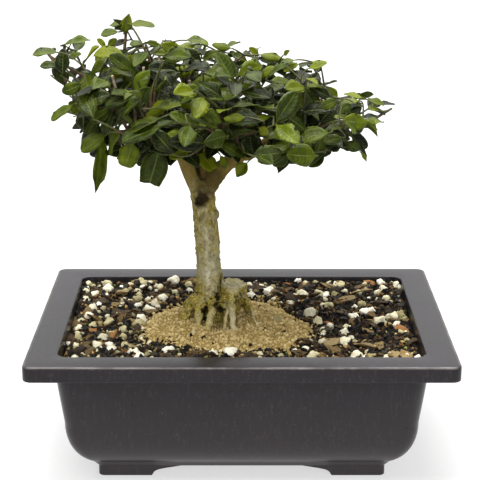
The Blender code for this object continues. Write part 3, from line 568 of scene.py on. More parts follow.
# each kind of grain: the lumps' level, count, proportions and roughness, the longest side from and to, least
# spacing, most on a square metre, tilt, the room that says where it lies, seed and colours
grainKinds = {
    "peat_crumbs": ((1, 4, (1.0, 0.8, 0.7), 0.35), (1.3, 3.0), 1.35, 420000, 3.1, "mixRoom", 11,
                    ((0.0, "#0c0a07"), (0.45, "#1c150d"), (0.7, "#352614"), (0.88, "#5f4224"),
                     (1.0, "#82683e"))),
    "char_chunks": ((2, 4, (1.0, 0.75, 0.6), 0.45), (3.0, 6.0), 4.6, 42000, 3.1, "chunkRoom", 12,
                    ((0.0, "#0c0b09"), (0.6, "#1c1a15"), (1.0, "#383020"))),
    "bark_chips": ((2, 6, (1.0, 0.55, 0.2), 0.4), (5.5, 14.5), 6.8, 16000, 0.5, "chunkRoom", 13,
                   ((0.0, "#1e160c"), (0.4, "#43321c"), (0.7, "#64512e"), (0.9, "#7c683e"),
                    (1.0, "#8c5a2c"))),
    "bark_flakes": ((3, 4, (1.0, 0.62, 0.16), 0.35), (10.0, 17.0), 16.0, 2600, 0.3, "chunkRoom", 18,
                    ((0.0, "#281f12"), (0.4, "#4a3b22"), (0.8, "#6f5c3a"), (1.0, "#8e7a50"))),
    "moss_bits": ((1, 4, (1.0, 0.6, 0.4), 0.4), (1.3, 3.4), 3.0, 9000, 0.8, "chunkRoom", 19,
                  ((0.0, "#3c4a12"), (0.5, "#5f6e22"), (1.0, "#8a9440"))),
    "perlite_large": ((3, 6, (1.0, 0.85, 0.75), 0.24), (4.4, 8.0), 6.0, 15000, 3.1, "whiteRoom", 14,
                      ((0.0, "#8e8458"), (0.3, "#c0b78e"), (0.65, "#ddd6ba"), (1.0, "#eeeada"))),
    "perlite_small": ((2, 6, (1.0, 0.85, 0.75), 0.28), (1.9, 4.6), 3.2, 30000, 3.1, "whiteRoom", 15,
                      ((0.0, "#847b52"), (0.35, "#b9b08a"), (0.7, "#d8d1b2"), (1.0, "#ebe7d6"))),
    "amber_grit": ((2, 3, (1.0, 0.85, 0.7), 0.3), (1.5, 3.2), 3.5, 9000, 3.1, "chunkRoom", 16,
                   ((0.0, "#7a5a30"), (0.5, "#a98a57"), (0.8, "#c09d62"), (1.0, "#6f7a34"))),
    "sand_crumbs": ((1, 5, (1.0, 0.85, 0.8), 0.3), (1.2, 2.8), 1.25, 700000, 3.1, "sandRoom", 17,
                    ((0.0, "#97834d"), (0.5, "#b7a069"), (1.0, "#d2bd8b"))),
}
earths = {
    # colours, scale of the mottling, roughness and height of the bumps in metres
    "peat": (((0.0, "#0c0a07"), (0.5, "#1c150d"), (1.0, "#3a2b18")), 500, 0.95, 0.0006),
    "sand": (((0.0, "#8a7542"), (0.5, "#b49c67"), (1.0, "#ccb583")), 420, 0.95, 0.0004),
}
grainFinish = {
    "angular": ("peat_crumbs", "char_chunks", "bark_chips", "bark_flakes"),
    "roughness": {"bark_chips": 0.75, "bark_flakes": 0.7, "char_chunks": 0.55},
}


def grainShapes(kind, level, count, scale, rough):
    # a few lumps of unit length for one kind of grain
    shapes = []
    for i in range(count):
        bm = bmesh.new()
        bmesh.ops.create_icosphere(bm, subdivisions=level, radius=0.5)
        for vert in bm.verts:
            swell = noise.noise(vert.co * 2.4 + Vector((i * 7.3, 2.0, 5.0))) * rough
            swell += noise.noise(vert.co * 7.0 + Vector((i * 3.1, 8.0, 1.0))) * rough * 0.22
            vert.co = vert.co * Vector(scale) * (1 + 2 * swell)
        shapes.append(addPiece(f"{kind}_{i}", bm, smooth=kind not in grainFinish["angular"]))
    return makeShelf(kind + "_shapes", shapes)


def buildScatter(add, source):
    room = add("GeometryNodeInputNamedAttribute", {"data_type": "FLOAT", "Name": source["Room"]})
    points = add("GeometryNodeDistributePointsOnFaces", {
        "distribute_method": "POISSON", "Mesh": source["Geometry"], "Distance Min": source["Spacing"],
        "Density Max": source["Per square metre"], "Density Factor": room, "Seed": source["Seed"]})
    low = add("CombineXYZ", {0: source["Least tilt"], 1: source["Least tilt"]})
    high = add("CombineXYZ", {0: source["Most tilt"], 1: source["Most tilt"], 2: 2 * math.pi})
    turn = add("FunctionNodeRandomValue", {
        "data_type": "FLOAT_VECTOR", 0: low, 1: high, "Seed": source["Seed"]})
    size = add("FunctionNodeRandomValue", {
        "data_type": "FLOAT", 2: source["Smallest"], 3: source["Largest"], "Seed": source["Seed"]})
    which = add("FunctionNodeRandomValue", {"data_type": "INT", 4: 0, 5: 9, "Seed": source["Seed"]})
    shapes = add("GeometryNodeCollectionInfo", {
        "Separate Children": True, "Reset Children": True, "Collection": source["Shapes"]})
    grains = add("GeometryNodeInstanceOnPoints", {
        "Pick Instance": True, "Points": points, "Instance": shapes, "Instance Index": which,
        "Rotation": turn, "Scale": size})
    tone = add("FunctionNodeRandomValue", {"data_type": "FLOAT", 2: 0.0, 3: 1.0, "Seed": source["Tone seed"]})
    toned = add("GeometryNodeStoreNamedAttribute", {
        "data_type": "FLOAT", "domain": "INSTANCE", "Name": "tint", "Geometry": grains, "Value": tone})
    return toned


def makeGround():
    # a thin copy of the soil's surface that only carries the grains, with the room that each kind has
    s = soilSizes
    bm = bmesh.new()
    rooms = {name: [] for name in ("mixRoom", "chunkRoom", "whiteRoom", "sandRoom")}
    grid = []
    for places in wallGrid(*s["groundGrid"], s["groundInset"], s["groundCorner"]):
        line = []
        for x, y in places:
            share = moundShare(x, y)
            blend = limited((share - 0.93) / 0.07)
            z = moundHeight(x, y) * (1 - blend) + mixHeight(x, y) * blend
            line.append(bm.verts.new((x * mm, y * mm, z * mm)))
            patch = noise.noise(Vector((x, y, 0)) / 16) + 0.4 * noise.noise(Vector((x, y, 4)) / 5)
            rooms["mixRoom"].append(1.0 if share > 0.97 + 0.14 * patch else 0.03 * (share > 0.5))
            rooms["chunkRoom"].append(limited((share - 0.94) / 0.14))
            # perlite lies thicker on the left and at the back, and thinner in the front right
            white = 0.5 + 0.9 * patch + 0.35 * (x < -45) + 0.25 * (y > 45) - 0.15 * (20 < x < 55 and y < 30)
            rooms["whiteRoom"].append(limited(white) * limited((share - 0.95) / 0.12, 0.03))
            fringe = limited((1.16 + 0.16 * patch - share) / 0.22)
            rooms["sandRoom"].append(fringe * (1.0 if share < 0.98 else 0.75))
        grid.append(line)
    bridge(bm, grid, wrap=False)
    ground = addPiece("ground", bm)
    for name, values in rooms.items():
        addValues(ground, name, values)
    return ground


def makeSoil():
    makeMix(earthMaterial("damp peat", *earths["peat"]))
    makeMound(earthMaterial("sandy loam", *earths["sand"]))
    tree = makeTree("scatter grains", {
        "Geometry": "Geometry", "Shapes": "Collection", "Material": "Material", "Room": "String",
        "Spacing": "Float", "Per square metre": "Float", "Smallest": "Float", "Largest": "Float",
        "Least tilt": "Float", "Most tilt": "Float", "Seed": "Int", "Tone seed": "Int"}, buildScatter)
    ground = makeGround()
    for kind, (form, sizes, spacing, perMetre, tilt, room, seed, stops) in grainKinds.items():
        material = earthMaterial(kind.replace("_", " "), stops, 260 if "perlite" in kind else 600,
                                 grainFinish["roughness"].get(kind, 0.9), 0.0005)
        shapes = grainShapes(kind, *form)
        grains = runTree(kind, ground, tree, {
            "Shapes": shapes, "Material": material, "Room": room, "Spacing": spacing * mm,
            "Per square metre": float(perMetre), "Smallest": sizes[0] * mm, "Largest": sizes[1] * mm,
            "Least tilt": -tilt, "Most tilt": tilt, "Seed": seed, "Tone seed": seed + 50})
        clearShelf(shapes)
        finishPiece(grains, "sandy_soil" if kind == "sand_crumbs" else "potting_mix")
    removeObjects([ground])
    print("soil made")


# wood

wood = {
    "trunk": ((-14, 2, 56, 7.5), (-15, 2, 66, 9.2), (-16, 1.5, 74, 9.6), (-16.6, 1, 82, 8.2),
              (-17.2, 0.5, 91, 7.4), (-17.8, 0, 102, 6.4), (-18.4, 0, 115, 6.6), (-19.4, 0.3, 127, 6.2),
              (-20.3, 0.2, 136, 6.3), (-20.8, 0, 142.5, 6.3), (-21.2, 0, 147.5, 4.4)),
    "stub": ((-10, -1, 66, 6.4), (-7, -3, 78, 6.0), (-4.6, -4.5, 86, 6.6), (-3.8, -5, 91.5, 6.9)),
    "knots": ((-14.0, -1.4, 128.6, 2.5), (-22.5, -5.2, 134, 2.2), (-24.5, -3.5, 80, 4.2),
              (-9, -6.5, 82, 4.0)),
    "roots": (
        ((-5.0, -9, 88, 2.7), (-5.2, -13.2, 82, 2.0), (-4.8, -16.6, 74, 1.6), (-4.7, -18.5, 61, 2.1)),
        ((-6.5, -9, 84, 1.3), (-7.6, -13, 78, 1.0), (-9.2, -15.5, 70, 0.9), (-9.8, -16.5, 61, 0.8)),
        ((-14, -6, 82, 3.0), (-15.4, -11.5, 78, 2.2), (-17.4, -16, 72, 1.7), (-18, -18, 61, 1.2)),
        ((-21, -4, 82, 3.2), (-22.8, -8.5, 77, 2.3), (-23.4, -12.5, 71, 1.8), (-23.8, -14.5, 61, 1.2)),
        ((-21, 1, 82, 3.6), (-26, -1.5, 78, 2.9), (-30.5, -4, 73, 2.3), (-33.5, -6, 63, 1.6)),
        ((1, -7, 86, 1.6), (3.4, -9.5, 82.5, 0.9), (7, -13, 74, 0.65), (10.8, -16.5, 62, 0.55)),
        ((-1.5, -2, 85, 3.6), (1.5, 0, 79, 2.6), (4, 2, 73, 2.0), (6, 3, 61, 1.5)),
        ((-12, 6, 80, 3.4), (-6, 12, 77, 2.6), (-2, 17, 72, 2.0), (-1, 19, 60, 1.4)),
        ((-20, 6, 80, 3.4), (-26, 12, 77, 2.6), (-30, 16.5, 72, 2.0), (-31, 18, 60, 1.4)),
    ),
    "limbs": (
        ((-21.4, 0, 139, 5.0), (-27, -1, 151, 4.3), (-32, -2, 162, 3.5), (-41, -4, 171, 2.9),
         (-54, -5, 178, 2.3), (-66, -5, 184, 1.8)),
        ((-30, -2, 159, 2.8), (-37, -12, 165, 2.3), (-45, -22, 170, 1.9), (-53, -29, 173, 1.5)),
        ((-32, -2, 162, 2.8), (-40, 10, 172, 2.3), (-50, 19, 180, 1.9), (-58, 26, 185, 1.5)),
        ((-26, -0.5, 149, 3.6), (-24, 4, 160, 3.2), (-22, 5, 172, 2.5), (-25, 3, 187, 1.8)),
        ((-24.5, 2, 157, 2.6), (-19, -9, 165, 2.2), (-14, -20, 171, 1.8), (-10, -29, 174, 1.5)),
        ((-24, 4, 161, 2.6), (-18, 14, 171, 2.1), (-12, 24, 178, 1.8), (-7, 32, 182, 1.5)),
        ((-19.6, 0, 138, 5.0), (-9.5, 0.5, 150, 4.0), (1, 2, 159, 3.2), (15, 1, 166, 2.7), (29, 2, 171, 2.2),
         (43, 1, 174, 1.7)),
        ((1, 2, 159, 2.6), (11, -11, 165, 2.1), (21, -19, 169, 1.8), (30, -25, 171, 1.5)),
        ((6, 0, 161, 2.6), (17, 11, 169, 2.1), (27, 19, 174, 1.8), (36, 25, 177, 1.5)),
    ),
    # two limbs as they are seen; the shoots are planned from the CAD's, which lie a few mm off
    "shifted": {
        3: ((-20.5, 0.5, 143, 4.4), (-21.5, 3, 156, 3.6), (-22, 5, 172, 2.5), (-25, 3, 187, 1.8)),
        6: ((-18.6, 0, 142.5, 5.3), (-9.8, 0.5, 153.6, 4.3), (1, 2, 160.4, 3.3), (15, 1, 166, 2.7),
            (29, 2, 171, 2.2), (43, 1, 174, 1.7)),
    },
    "voxel": 0.45, "warts": 190, "wartRadius": 0.75, "wartHeight": 0.55,
    "sights": 12, "sightReach": 8,  # how many sight lines look for a hollow, and how far they go
    "scar": (-20.8, -5.6, 137.6),
    # the middle of the painted shade on the fork
    "paintedForkShade": (-16, -5, 147),
    "hole": (-13.6, -10, 80.8),
}


def eased(points, steps):
    # a smooth line through points that hold a place and a radius
    places = [Vector(p) for p in points]
    ends = [2 * places[0] - places[1]] + places + [2 * places[-1] - places[-2]]
    line = []
    for a, b, c, d in zip(ends, ends[1:], ends[2:], ends[3:]):
        for t in (step / steps for step in range(steps)):
            line.append(0.5 * (2 * b + (c - a) * t + (2 * a - 5 * b + 4 * c - d) * t * t
                               + (3 * b - a - 3 * c + d) * t ** 3))
    line.append(places[-1])
    return line


def addTube(bm, points, sides, steps=4):
    line = eased(points, steps)
    side, loops = None, []
    for i, point in enumerate(line):
        axis = (line[min(i + 1, len(line) - 1)].xyz - line[max(i - 1, 0)].xyz).normalized()
        side = side or axis.orthogonal()
        side = (side - axis * side.dot(axis)).normalized()
        other = axis.cross(side)
        loop = []
        for k in range(sides):
            angle = 2 * math.pi * k / sides
            spread = (side * math.cos(angle) + other * math.sin(angle)) * point.w
            loop.append(bm.verts.new((point.xyz + spread) * mm))
        loops.append(loop)
    bridge(bm, loops)
    bm.faces.new(list(reversed(loops[0])))
    bm.faces.new(loops[-1])


def barkMaterial():
    # privet bark: thin, grey-olive, with raised brown lenticels, mossy low down and browner in the limbs;
    # painted shade darkens its sides, hollows, fork and limbs, and painted light pales its foot
    material, add, shader, place = startMaterial("privet bark", 0.85, 1.5, 0.15)
    x, y, z = add("SeparateXYZ", {0: place}).outputs
    side, wart, hollow = (add("Attribute", {"attribute_name": name}).outputs["Fac"]
                          for name in ("side", "wart", "hollow"))
    long = add("Mapping", {"Scale": (520, 520, 260), "Vector": place})
    fibre = add("TexNoise", {"Scale": 1, "Detail": 7, "Roughness": 0.72, "Vector": long})
    cloud = add("TexNoise", {"Scale": 160, "Detail": 5, "Roughness": 0.6, "Vector": place})
    speckle = add("TexNoise", {"Scale": 1100, "Detail": 4, "Vector": place})
    bark = add("ValToRGB", {
        "stops": ((0.32, "#54481f"), (0.44, "#8b7f4c"), (0.56, "#aba27a"), (0.70, "#d2caab")), 0: fibre})
    # moss colours, which also paint the shade on the trunk's sides
    mossAndShadeTones = add("ValToRGB", {"stops": ((0.36, "#5a4d0a"), (0.52, "#a18e26"), (0.68, "#ccbc58")), 0: speckle})

    # painted light: paler towards the foot, as if more light reached the lower trunk, with dull patches
    paintedFootLight = add("MapRange", {"Value": z, "From Min": 0.126, "From Max": 0.094})
    dull = add("MapRange", {"Value": cloud, "From Min": 0.47, "From Max": 0.36, "To Max": 0.5})

    # algae and moss thicker towards the ground, and painted shade that darkens the trunk's left and right
    # sides in the moss's olive tones
    low = add("MapRange", {"Value": z, "From Min": 0.096, "From Max": 0.082, "To Max": 0.34})
    # painted shade: the side attribute, how far a point faces left or right, darkens the trunk's edges
    sideShadeAndPatches = add("Math", {"operation": "MULTIPLY_ADD", 0: side, 1: 0.3, 2: cloud})
    sideShadeAndLowMoss = add("Math", {"operation": "ADD", 0: sideShadeAndPatches, 1: low})
    mossAndSideShade = add("MapRange", {"Value": sideShadeAndLowMoss, "From Min": 0.54, "From Max": 0.94, "To Max": 0.9})

    # the front roots below the stub are paler
    pale = add("MapRange", {"Value": z, "From Min": 0.085, "From Max": 0.077, "To Max": 0.75})
    front = add("MapRange", {"Value": y, "From Min": -0.010, "From Max": -0.0125})
    under = add("MapRange", {"Value": x, "From Min": -0.0095, "From Max": -0.0075, "To Min": 0.35})
    paleFrontRoots = add("Math", {"operation": "MULTIPLY", 0: under, 1: front})
    paleFrontRoots = add("Math", {"operation": "MULTIPLY", 0: pale, 1: paleFrontRoots})

    # limbs turn browner, with a ragged edge: partly the limbs' own colour and partly painted shade from the
    # crown above
    ragged = add("Math", {"operation": "MULTIPLY_ADD", 0: cloud, 1: 0.022, 2: z})
    high = add("MapRange", {"Value": ragged, "From Min": 0.145, "From Max": 0.162, "To Max": 0.86})

    # painted shade darkens the fork, where the crown's shadow falls, and a dark healed scar lies under it
    spots = []
    for centre, spread, outer, inner, most in ((wood["paintedForkShade"], 0.016, 0.0115, 0.0050, 0.62),
                                               (wood["scar"], 0.007, 0.0050, 0.0030, 0.94)):
        away = add("VectorMath", {"operation": "DISTANCE", 0: place, 1: [v * mm for v in centre]})
        ragged = add("Math", {"operation": "MULTIPLY_ADD", 0: cloud, 1: spread, 2: -spread / 2})
        edge = add("Math", {"operation": "ADD", 0: away, 1: ragged})
        spots.append(add("MapRange", {"Value": edge, "From Min": outer, "From Max": inner, "To Max": most}))
    dots = add("MapRange", {"Value": wart, "From Min": 0.35, "From Max": 0.85, "To Max": 0.5})
    # painted shade in hollows: between the roots, in the root hole and round the fork
    paintedHollowShade = add("MapRange", {"Value": hollow, "From Min": 0.24, "From Max": 0.66, "To Max": 0.96})

    # painted light on the lower trunk, screened over the bark's colour
    colour = add("Mix", {"data_type": "RGBA", "blend_type": "SCREEN", 0: paintedFootLight, 6: bark, 7: "#b2ac90"})
    layers = ((dull, "#5c532e"), (mossAndSideShade, mossAndShadeTones), (paleFrontRoots, "#d3c9a8"), (high, "#74622a"), (spots[0], "#2e220a"),
              (dots, "#6f6034"), (spots[1], "#281d0a"), (paintedHollowShade, "#1f1808"))
    for share, tone in layers:
        colour = add("Mix", {"data_type": "RGBA", 0: share, 6: colour, 7: tone})
    raised = add("Math", {"operation": "MULTIPLY_ADD", 0: dots, 1: 0.6, 2: fibre})
    bump = add("Bump", {"Strength": 0.9, "Distance": 0.0007, "Height": raised})
    add(shader, {"Base Color": colour, "Normal": bump})
    return material


def surfaceOf(mesh, unit=1):
    # a mesh to send sight lines at, in metres or another unit
    points = [vert.co / unit for vert in mesh.vertices]
    return BVHTree.FromPolygons(points, [face.vertices for face in mesh.polygons])


def hollowShares(mesh):
    # the share of short sight lines from each point that meet the wood again
    surface = surfaceOf(mesh)
    dice = random.Random(4)
    sights = [Vector([dice.gauss(0, 1) for _ in range(3)]).normalized() for _ in range(wood["sights"])]
    shares = []
    for vert in mesh.vertices:
        hits = 0
        if vert.co.z < 0.099 or 0.13 < vert.co.z < 0.165:
            start = vert.co + vert.normal * 0.0003
            for sight in sights:
                way = sight if sight.dot(vert.normal) > 0 else -sight
                hits += surface.ray_cast(start, way, wood["sightReach"] * mm)[0] is not None
        shares.append(hits / len(sights))
    return shares


def barkRelief(place):
    # how far the bark stands out at a place in mm, without its lenticels, and how deep in the root hole it is
    ridges = 0.16 * noise.noise(Vector((place.x / 1.6, place.y / 1.6, place.z / 7)))
    lumps = 0.35 * noise.noise(place / 5)
    foot = limited((97 - place.z) / 12) * (0.45 if place.y < -11 else 1.0)
    lumps += foot * (1.5 * noise.noise(place / 3.2 + Vector((3, 1, 7))) + 0.9 * noise.noise(place / 1.5)
                     + 0.4 * noise.noise(place / 0.8))
    if foot and place.x > -12 and place.z > 79:
        lumps += 0.55 * noise.noise(Vector((place.x / 7, place.y / 7, place.z / 1.3)))
    away = (place - Vector(wood["scar"])).length
    rim = 0.8 * math.exp(-(away - 4.2) ** 2) - math.exp(-(away / 2.6) ** 2)
    rim += 0.9 * math.exp(-(away / 4.4) ** 2) * noise.noise(place / 0.9)
    pit = math.exp(-((place - Vector(wood["hole"])).length / 2.2) ** 2)
    rim -= 2.6 * pit
    if abs(place.x + 4) < 9 and place.z > 89 and place.y < 2:  # the stub's cut face is ragged
        rim += 0.5 * noise.noise(Vector((place.x, place.y, 0)) / 1.1)
    fine = min(1.0, 0.5 + foot) if place.z < 150 else 0.5
    return ridges + lumps * fine + rim, pit


def makeWood():
    # tubes and knots, fused into one skin that then gets its relief
    bm = bmesh.new()
    addTube(bm, wood["trunk"], 28)
    addTube(bm, wood["stub"], 24)
    for points in wood["roots"]:
        addTube(bm, points, 16)
    for number, points in enumerate(wood["limbs"]):
        addTube(bm, wood["shifted"].get(number, points), 16)
    for x, y, z, radius in wood["knots"]:
        centre = Matrix.Translation(Vector((x, y, z)) * mm)
        bmesh.ops.create_icosphere(bm, subdivisions=3, radius=radius * mm, matrix=centre)
    bmesh.ops.recalc_face_normals(bm, faces=bm.faces)
    tree = addPiece("trunk_and_limbs", bm)
    remesh = tree.modifiers.new("fuse", "REMESH")
    remesh.mode = "VOXEL"
    remesh.voxel_size = wood["voxel"] * mm
    smooth = tree.modifiers.new("smooth", "SMOOTH")
    smooth.factor = 0.6
    smooth.iterations = 5
    applyModifiers(tree)

    dice = random.Random(31)
    warts = []
    for _ in range(wood["warts"]):
        place, radius = along(inMetres(wood["trunk"]), dice.uniform(0.25, 1.0))
        turn = dice.uniform(0, 2 * math.pi)
        warts.append(place + radius * Vector((math.cos(turn), math.sin(turn), 0)))
    warts = treeOf(warts)
    moved, shares, sides, pits = [], [], [], []
    for vert in tree.data.vertices:
        relief, pit = barkRelief(vert.co / mm)
        wart = math.exp(-(warts.find(vert.co)[2] / mm / wood["wartRadius"]) ** 2)
        moved.append(vert.co + vert.normal * (relief + wood["wartHeight"] * wart) * mm)
        shares.append(wart)
        # painted shade: how far each point faces left or right, which the bark darkens
        sides.append(abs(vert.normal.x))
        pits.append(pit)
    for vert, place in zip(tree.data.vertices, moved):
        vert.co = place
    # painted shade: the share of sight lines that meet wood, and the root hole, darken the bark
    hollows = [max(share, 1.2 * pit) for share, pit in zip(hollowShares(tree.data), pits)]
    for name, values in (("wart", shares), ("side", sides), ("hollow", hollows)):
        addValues(tree, name, values)
    dress(tree, barkMaterial())
    tree.data.shade_smooth()
    finishPiece(tree, "bark", "tree")


# shoots: where each twig leaves its limb, and how its green stem runs

crown = {
    "centre": (-16.0, 0.0, 150.0), "reach": (90.0, 62.0, 70.0), "light": (0, -0.35, 0.55),
    "petiole": 1.2, "stemRadius": 0.5, "gap": 0.3, "blade": 0.7,
    "stemReach": (0, 15, 23, 30), "room": 2.1,
    "bends": ((0, 0), (0.1, 0), (-0.1, 0), (0, 0.12), (0, -0.12), (0.2, 0.05), (-0.2, 0.05), (0.3, 0),
              (-0.3, 0), (0, 0.25), (0.2, 0.2), (-0.2, 0.2), (0.4, 0.1), (-0.4, 0.1)),
    "tries": ((0, 0, 1), (18, 8, 1), (-18, -8, 1), (32, -12, 0.94), (-32, 12, 0.94), (12, 24, 0.88),
              (-12, -22, 0.88), (45, 0, 0.8), (-45, 0, 0.8), (25, 32, 0.72), (-25, -32, 0.72)),
    "outline": ((0.24, 0.33), (0.50, 0.50), (0.79, 0.29)),
    # tip of each spray's stem, arch, pairs of leaves, largest leaf
    "sprays": (
        ((-72, -25, 187), -0.16, 2, 19), ((-73, -26, 168), 0.3, 1, 22), ((-67, -32, 200), -0.1, 3, 19),
        ((-58, -38, 175), 0.35, 2, 20), ((-42, -42, 174), 0.4, 2, 21), ((-41, -48, 189), 0.0, 2, 21),
        ((-54, -32, 210), -0.1, 3, 19), ((-40, -44, 203), -0.05, 2, 20), ((-28, -48, 190), 0.0, 2, 20),
        ((-30, -34, 173), 0.25, 2, 18), ((-16, -30, 158), 0.1, 2, 17), ((-31, -30, 212), -0.1, 2, 19),
        ((-14, -44, 200), 0.0, 2, 20), ((-6, -48, 188), 0.0, 2, 20), ((8, -46, 193), 0.0, 2, 19),
        ((1, -42, 178), 0.15, 2, 19), ((18, -47, 184), 0.1, 2, 21), ((21, -36, 172), 0.3, 2, 19),
        ((28, -40, 193), 0.0, 2, 20), ((38, -32, 178), 0.2, 2, 19), ((33, -24, 202), -0.1, 2, 19),
        ((13, -30, 207), -0.05, 2, 19), ((46, -22, 188), -0.1, 2, 17), ((57, -14, 173), 0.2, 2, 16),
        ((-59, 0, 226), -0.3, 2, 16), ((-70, -6, 216), -0.2, 2, 16), ((-94, -4, 211), -0.1, 2, 15),
        ((-85, 2, 218), -0.25, 1, 15), ((-89, -8, 196), 0.0, 2, 16), ((-84, 6, 203), -0.16, 2, 17),
        ((-78, 4, 180), 0.1, 2, 17), ((-46, 0, 216), -0.2, 2, 17), ((-28, 4, 215), -0.2, 3, 18),
        ((-12, 2, 214), -0.25, 2, 16), ((8, 2, 210), -0.3, 2, 16), ((22, 0, 203), -0.2, 2, 17),
        ((36, 2, 202), -0.2, 2, 16), ((50, 2, 192), -0.16, 2, 15), ((61, -5, 191), -0.1, 2, 14),
        ((69, 4, 186), -0.1, 2, 14), ((60, -6, 181), 0.0, 2, 15), ((-2, -12, 164), 0.4, 1, 13),
        ((-68, 34, 203), -0.16, 2, 18), ((-50, 42, 199), -0.16, 2, 19), ((-30, 34, 207), -0.16, 2, 18),
        ((-10, 42, 198), -0.16, 2, 18), ((12, 36, 198), -0.16, 2, 18), ((36, 32, 190), -0.16, 2, 17),
        ((-80, 32, 186), 0.0, 2, 18), ((-58, 50, 178), 0.1, 2, 18), ((-32, 56, 182), 0.1, 2, 19),
        ((-4, 56, 178), 0.1, 2, 19), ((24, 48, 176), 0.1, 2, 18), ((52, 28, 176), 0.1, 2, 17),
    ),
}


def inMetres(points):
    return [tuple(value * mm for value in point) for point in points]


def placesOf(points):
    # a line's places in metres, without the radii
    return [Vector(point[:3]) * mm for point in points]


def along(points, share):
    # the point and radius at a share of a limb's length
    spans = [(Vector(b[:3]) - Vector(a[:3])).length for a, b in zip(points, points[1:])]
    left = share * sum(spans)
    for a, b, span in zip(points, points[1:], spans):
        if left <= span or b is points[-1]:
            t = min(1.0, left / span)
            return Vector(a[:3]).lerp(Vector(b[:3]), t), a[3] + (b[3] - a[3]) * t
        left -= span


def treeOf(places):
    tree = KDTree(len(places))
    for i, place in enumerate(places):
        tree.insert(place, i)
    tree.balance()
    return tree


def twigStart(tip):
    # a near place on a limb from which the twig doesn't turn back sharply
    choices = []
    for points in wood["limbs"]:
        limb = inMetres(points)
        for step in range(4, 15):
            place, _ = along(limb, step / 14)
            before, _ = along(limb, step / 14 - 0.1)
            reach = tip - place
            turn = 1 - reach.normalized().dot((place - before).normalized())
            choices.append((reach.length * (1 + 0.5 * turn), place))
    return min(choices, key=lambda choice: choice[0])[1]


def onShoot(shoot, t):
    start, bend, end = shoot
    return (1 - t) ** 2 * start + 2 * t * (1 - t) * bend + t ** 2 * end


def shootLength(shoot):
    samples = [onShoot(shoot, i / 20) for i in range(21)]
    return sum((b - a).length for a, b in zip(samples, samples[1:]))


def greenFrom(shoot, pairs):
    # the share of the shoot where its green stem begins
    return max(0.3, 1 - crown["stemReach"][pairs] * mm / shootLength(shoot))


def shootSamples(shoot, pairs):
    split = greenFrom(shoot, pairs)
    woody = [onShoot(shoot, split * i / 8) for i in range(2, 9)]
    green = [onShoot(shoot, split + (1 - split) * i / 10) for i in range(11)]
    return woody, green


def nearest(points, others):
    return min(((a - b).length for a in points for b in others), default=1.0)


def planShoots():
    # each shoot is bent aside where its green stem would touch a limb or another shoot
    limbs = []
    for points in wood["limbs"]:
        limb = inMetres(points)
        limbs += [along(limb, i / 40) for i in range(41)]
    shoots, woods, greens = [], [], []
    for tip, arch, pairs, _ in crown["sprays"]:
        end = Vector(tip) * mm
        start = twigStart(end)
        reach = (end - start).length
        aside = (end - start).cross(up).normalized()
        best = None
        for sideways, lift in crown["bends"]:
            bend = (start + end) / 2 + reach * Vector((0, 0, arch + lift)) + reach * sideways * aside
            shoot = (start, bend, end)
            woody, green = shootSamples(shoot, pairs)
            room = min(min((point - place).length - radius for point in green for place, radius in limbs),
                       nearest(green, woods + greens), nearest(woody, greens))
            if best is None or room > best[0]:
                best = (room, shoot, woody, green)
            if room > crown["room"] * mm:
                break
        shoots.append(best[1])
        woods += best[2]
        greens += best[3]
    return shoots


def crownNormal(place):
    # the way out of the crown, which is taken as an ellipsoid
    offset = place / mm - Vector(crown["centre"])
    return Vector([value / reach ** 2 for value, reach in zip(offset, crown["reach"])]).normalized()


def outward(place):
    return crownNormal(place) + up / 2


def frameOn(shoot, t, step, out):
    # a shoot's axis, the way across it and the way out of the crown
    axis = (onShoot(shoot, t + step) - onShoot(shoot, t - step)).normalized()
    out = (out - axis * out.dot(axis)).normalized()
    return axis, out.cross(axis), out


def stemRings(shoot, pairs):
    # square rings along a green stem, two for each pair of leaves, and the frame of each
    length = shootLength(shoot)
    start = greenFrom(shoot, pairs) + crown["gap"] * mm / length
    nodes = [start + (1 - start) * (k + 0.75) / (pairs + 0.1) for k in range(pairs)]
    half = crown["petiole"] * mm / 2 / length
    stations = [start] + [node + side * half for node in nodes for side in (-1, 1)] + [1.0]
    rings, frames = [], []
    out = outward(shoot[2])
    for t in stations:
        axis, across, out = frameOn(shoot, t, 0.01, out)
        radius = crown["stemRadius"] * mm * (1.15 - 0.35 * (t - start) / (1 - start))
        corners = ((1, 1), (-1, 1), (-1, -1), (1, -1))
        rings.append([onShoot(shoot, t) + radius * (a * across + o * out) for a, o in corners])
        frames.append((axis, across, out))
    return rings, frames


def leafMatrix(base, direction, normal):
    x = direction.normalized()
    y = normal.cross(x).normalized()
    return Matrix.Translation(base) @ Matrix((x, y, x.cross(y))).transposed().to_4x4()


def leafPoses(base, axis, facing, size, chance):
    # the poses that a leaf may take, best first: matrix, length, width, fold, arch
    endLeaf = facing.dot(axis) > 0.9
    centre = Vector(crown["centre"]) * mm
    lean = Vector((0, 0, 0))
    if endLeaf:
        away = Vector((base.x - centre.x, base.y - centre.y - 0.03, 0)).normalized()
        lean = Matrix.Rotation(chance.uniform(-1.2, 1.2), 3, "Z") @ away * 0.8 * axis.z
    length = size * chance.uniform(0.88, 1.1)
    width = length * chance.uniform(0.58, 0.68)
    spread = math.radians(0 if endLeaf else 90 - chance.uniform(48, 66))
    droop = chance.uniform(0.05, 0.40)
    upward = crownNormal(base) + Vector(crown["light"])
    upward += Vector([chance.uniform(-0.3, 0.3) for _ in range(3)])
    fold, arch = chance.uniform(0.15, 0.38), chance.uniform(0.05, 0.16)
    for tilt, turn, shrink in crown["tries"]:
        angle = spread + math.radians(turn)
        direction = facing * math.cos(angle) + axis * math.sin(angle) + lean - Vector((0, 0, droop))
        direction.normalize()
        normal = (upward - direction * upward.dot(direction)).normalized()
        normal = Matrix.Rotation(math.radians(tilt), 3, direction) @ normal
        yield leafMatrix(base, direction, normal), length * shrink, width * shrink, fold, arch


def leafTip(pose, side):
    matrix, length, _, _, arch = pose
    return matrix @ Vector((length, 0, -arch * length + side * crown["blade"] * mm / 2))


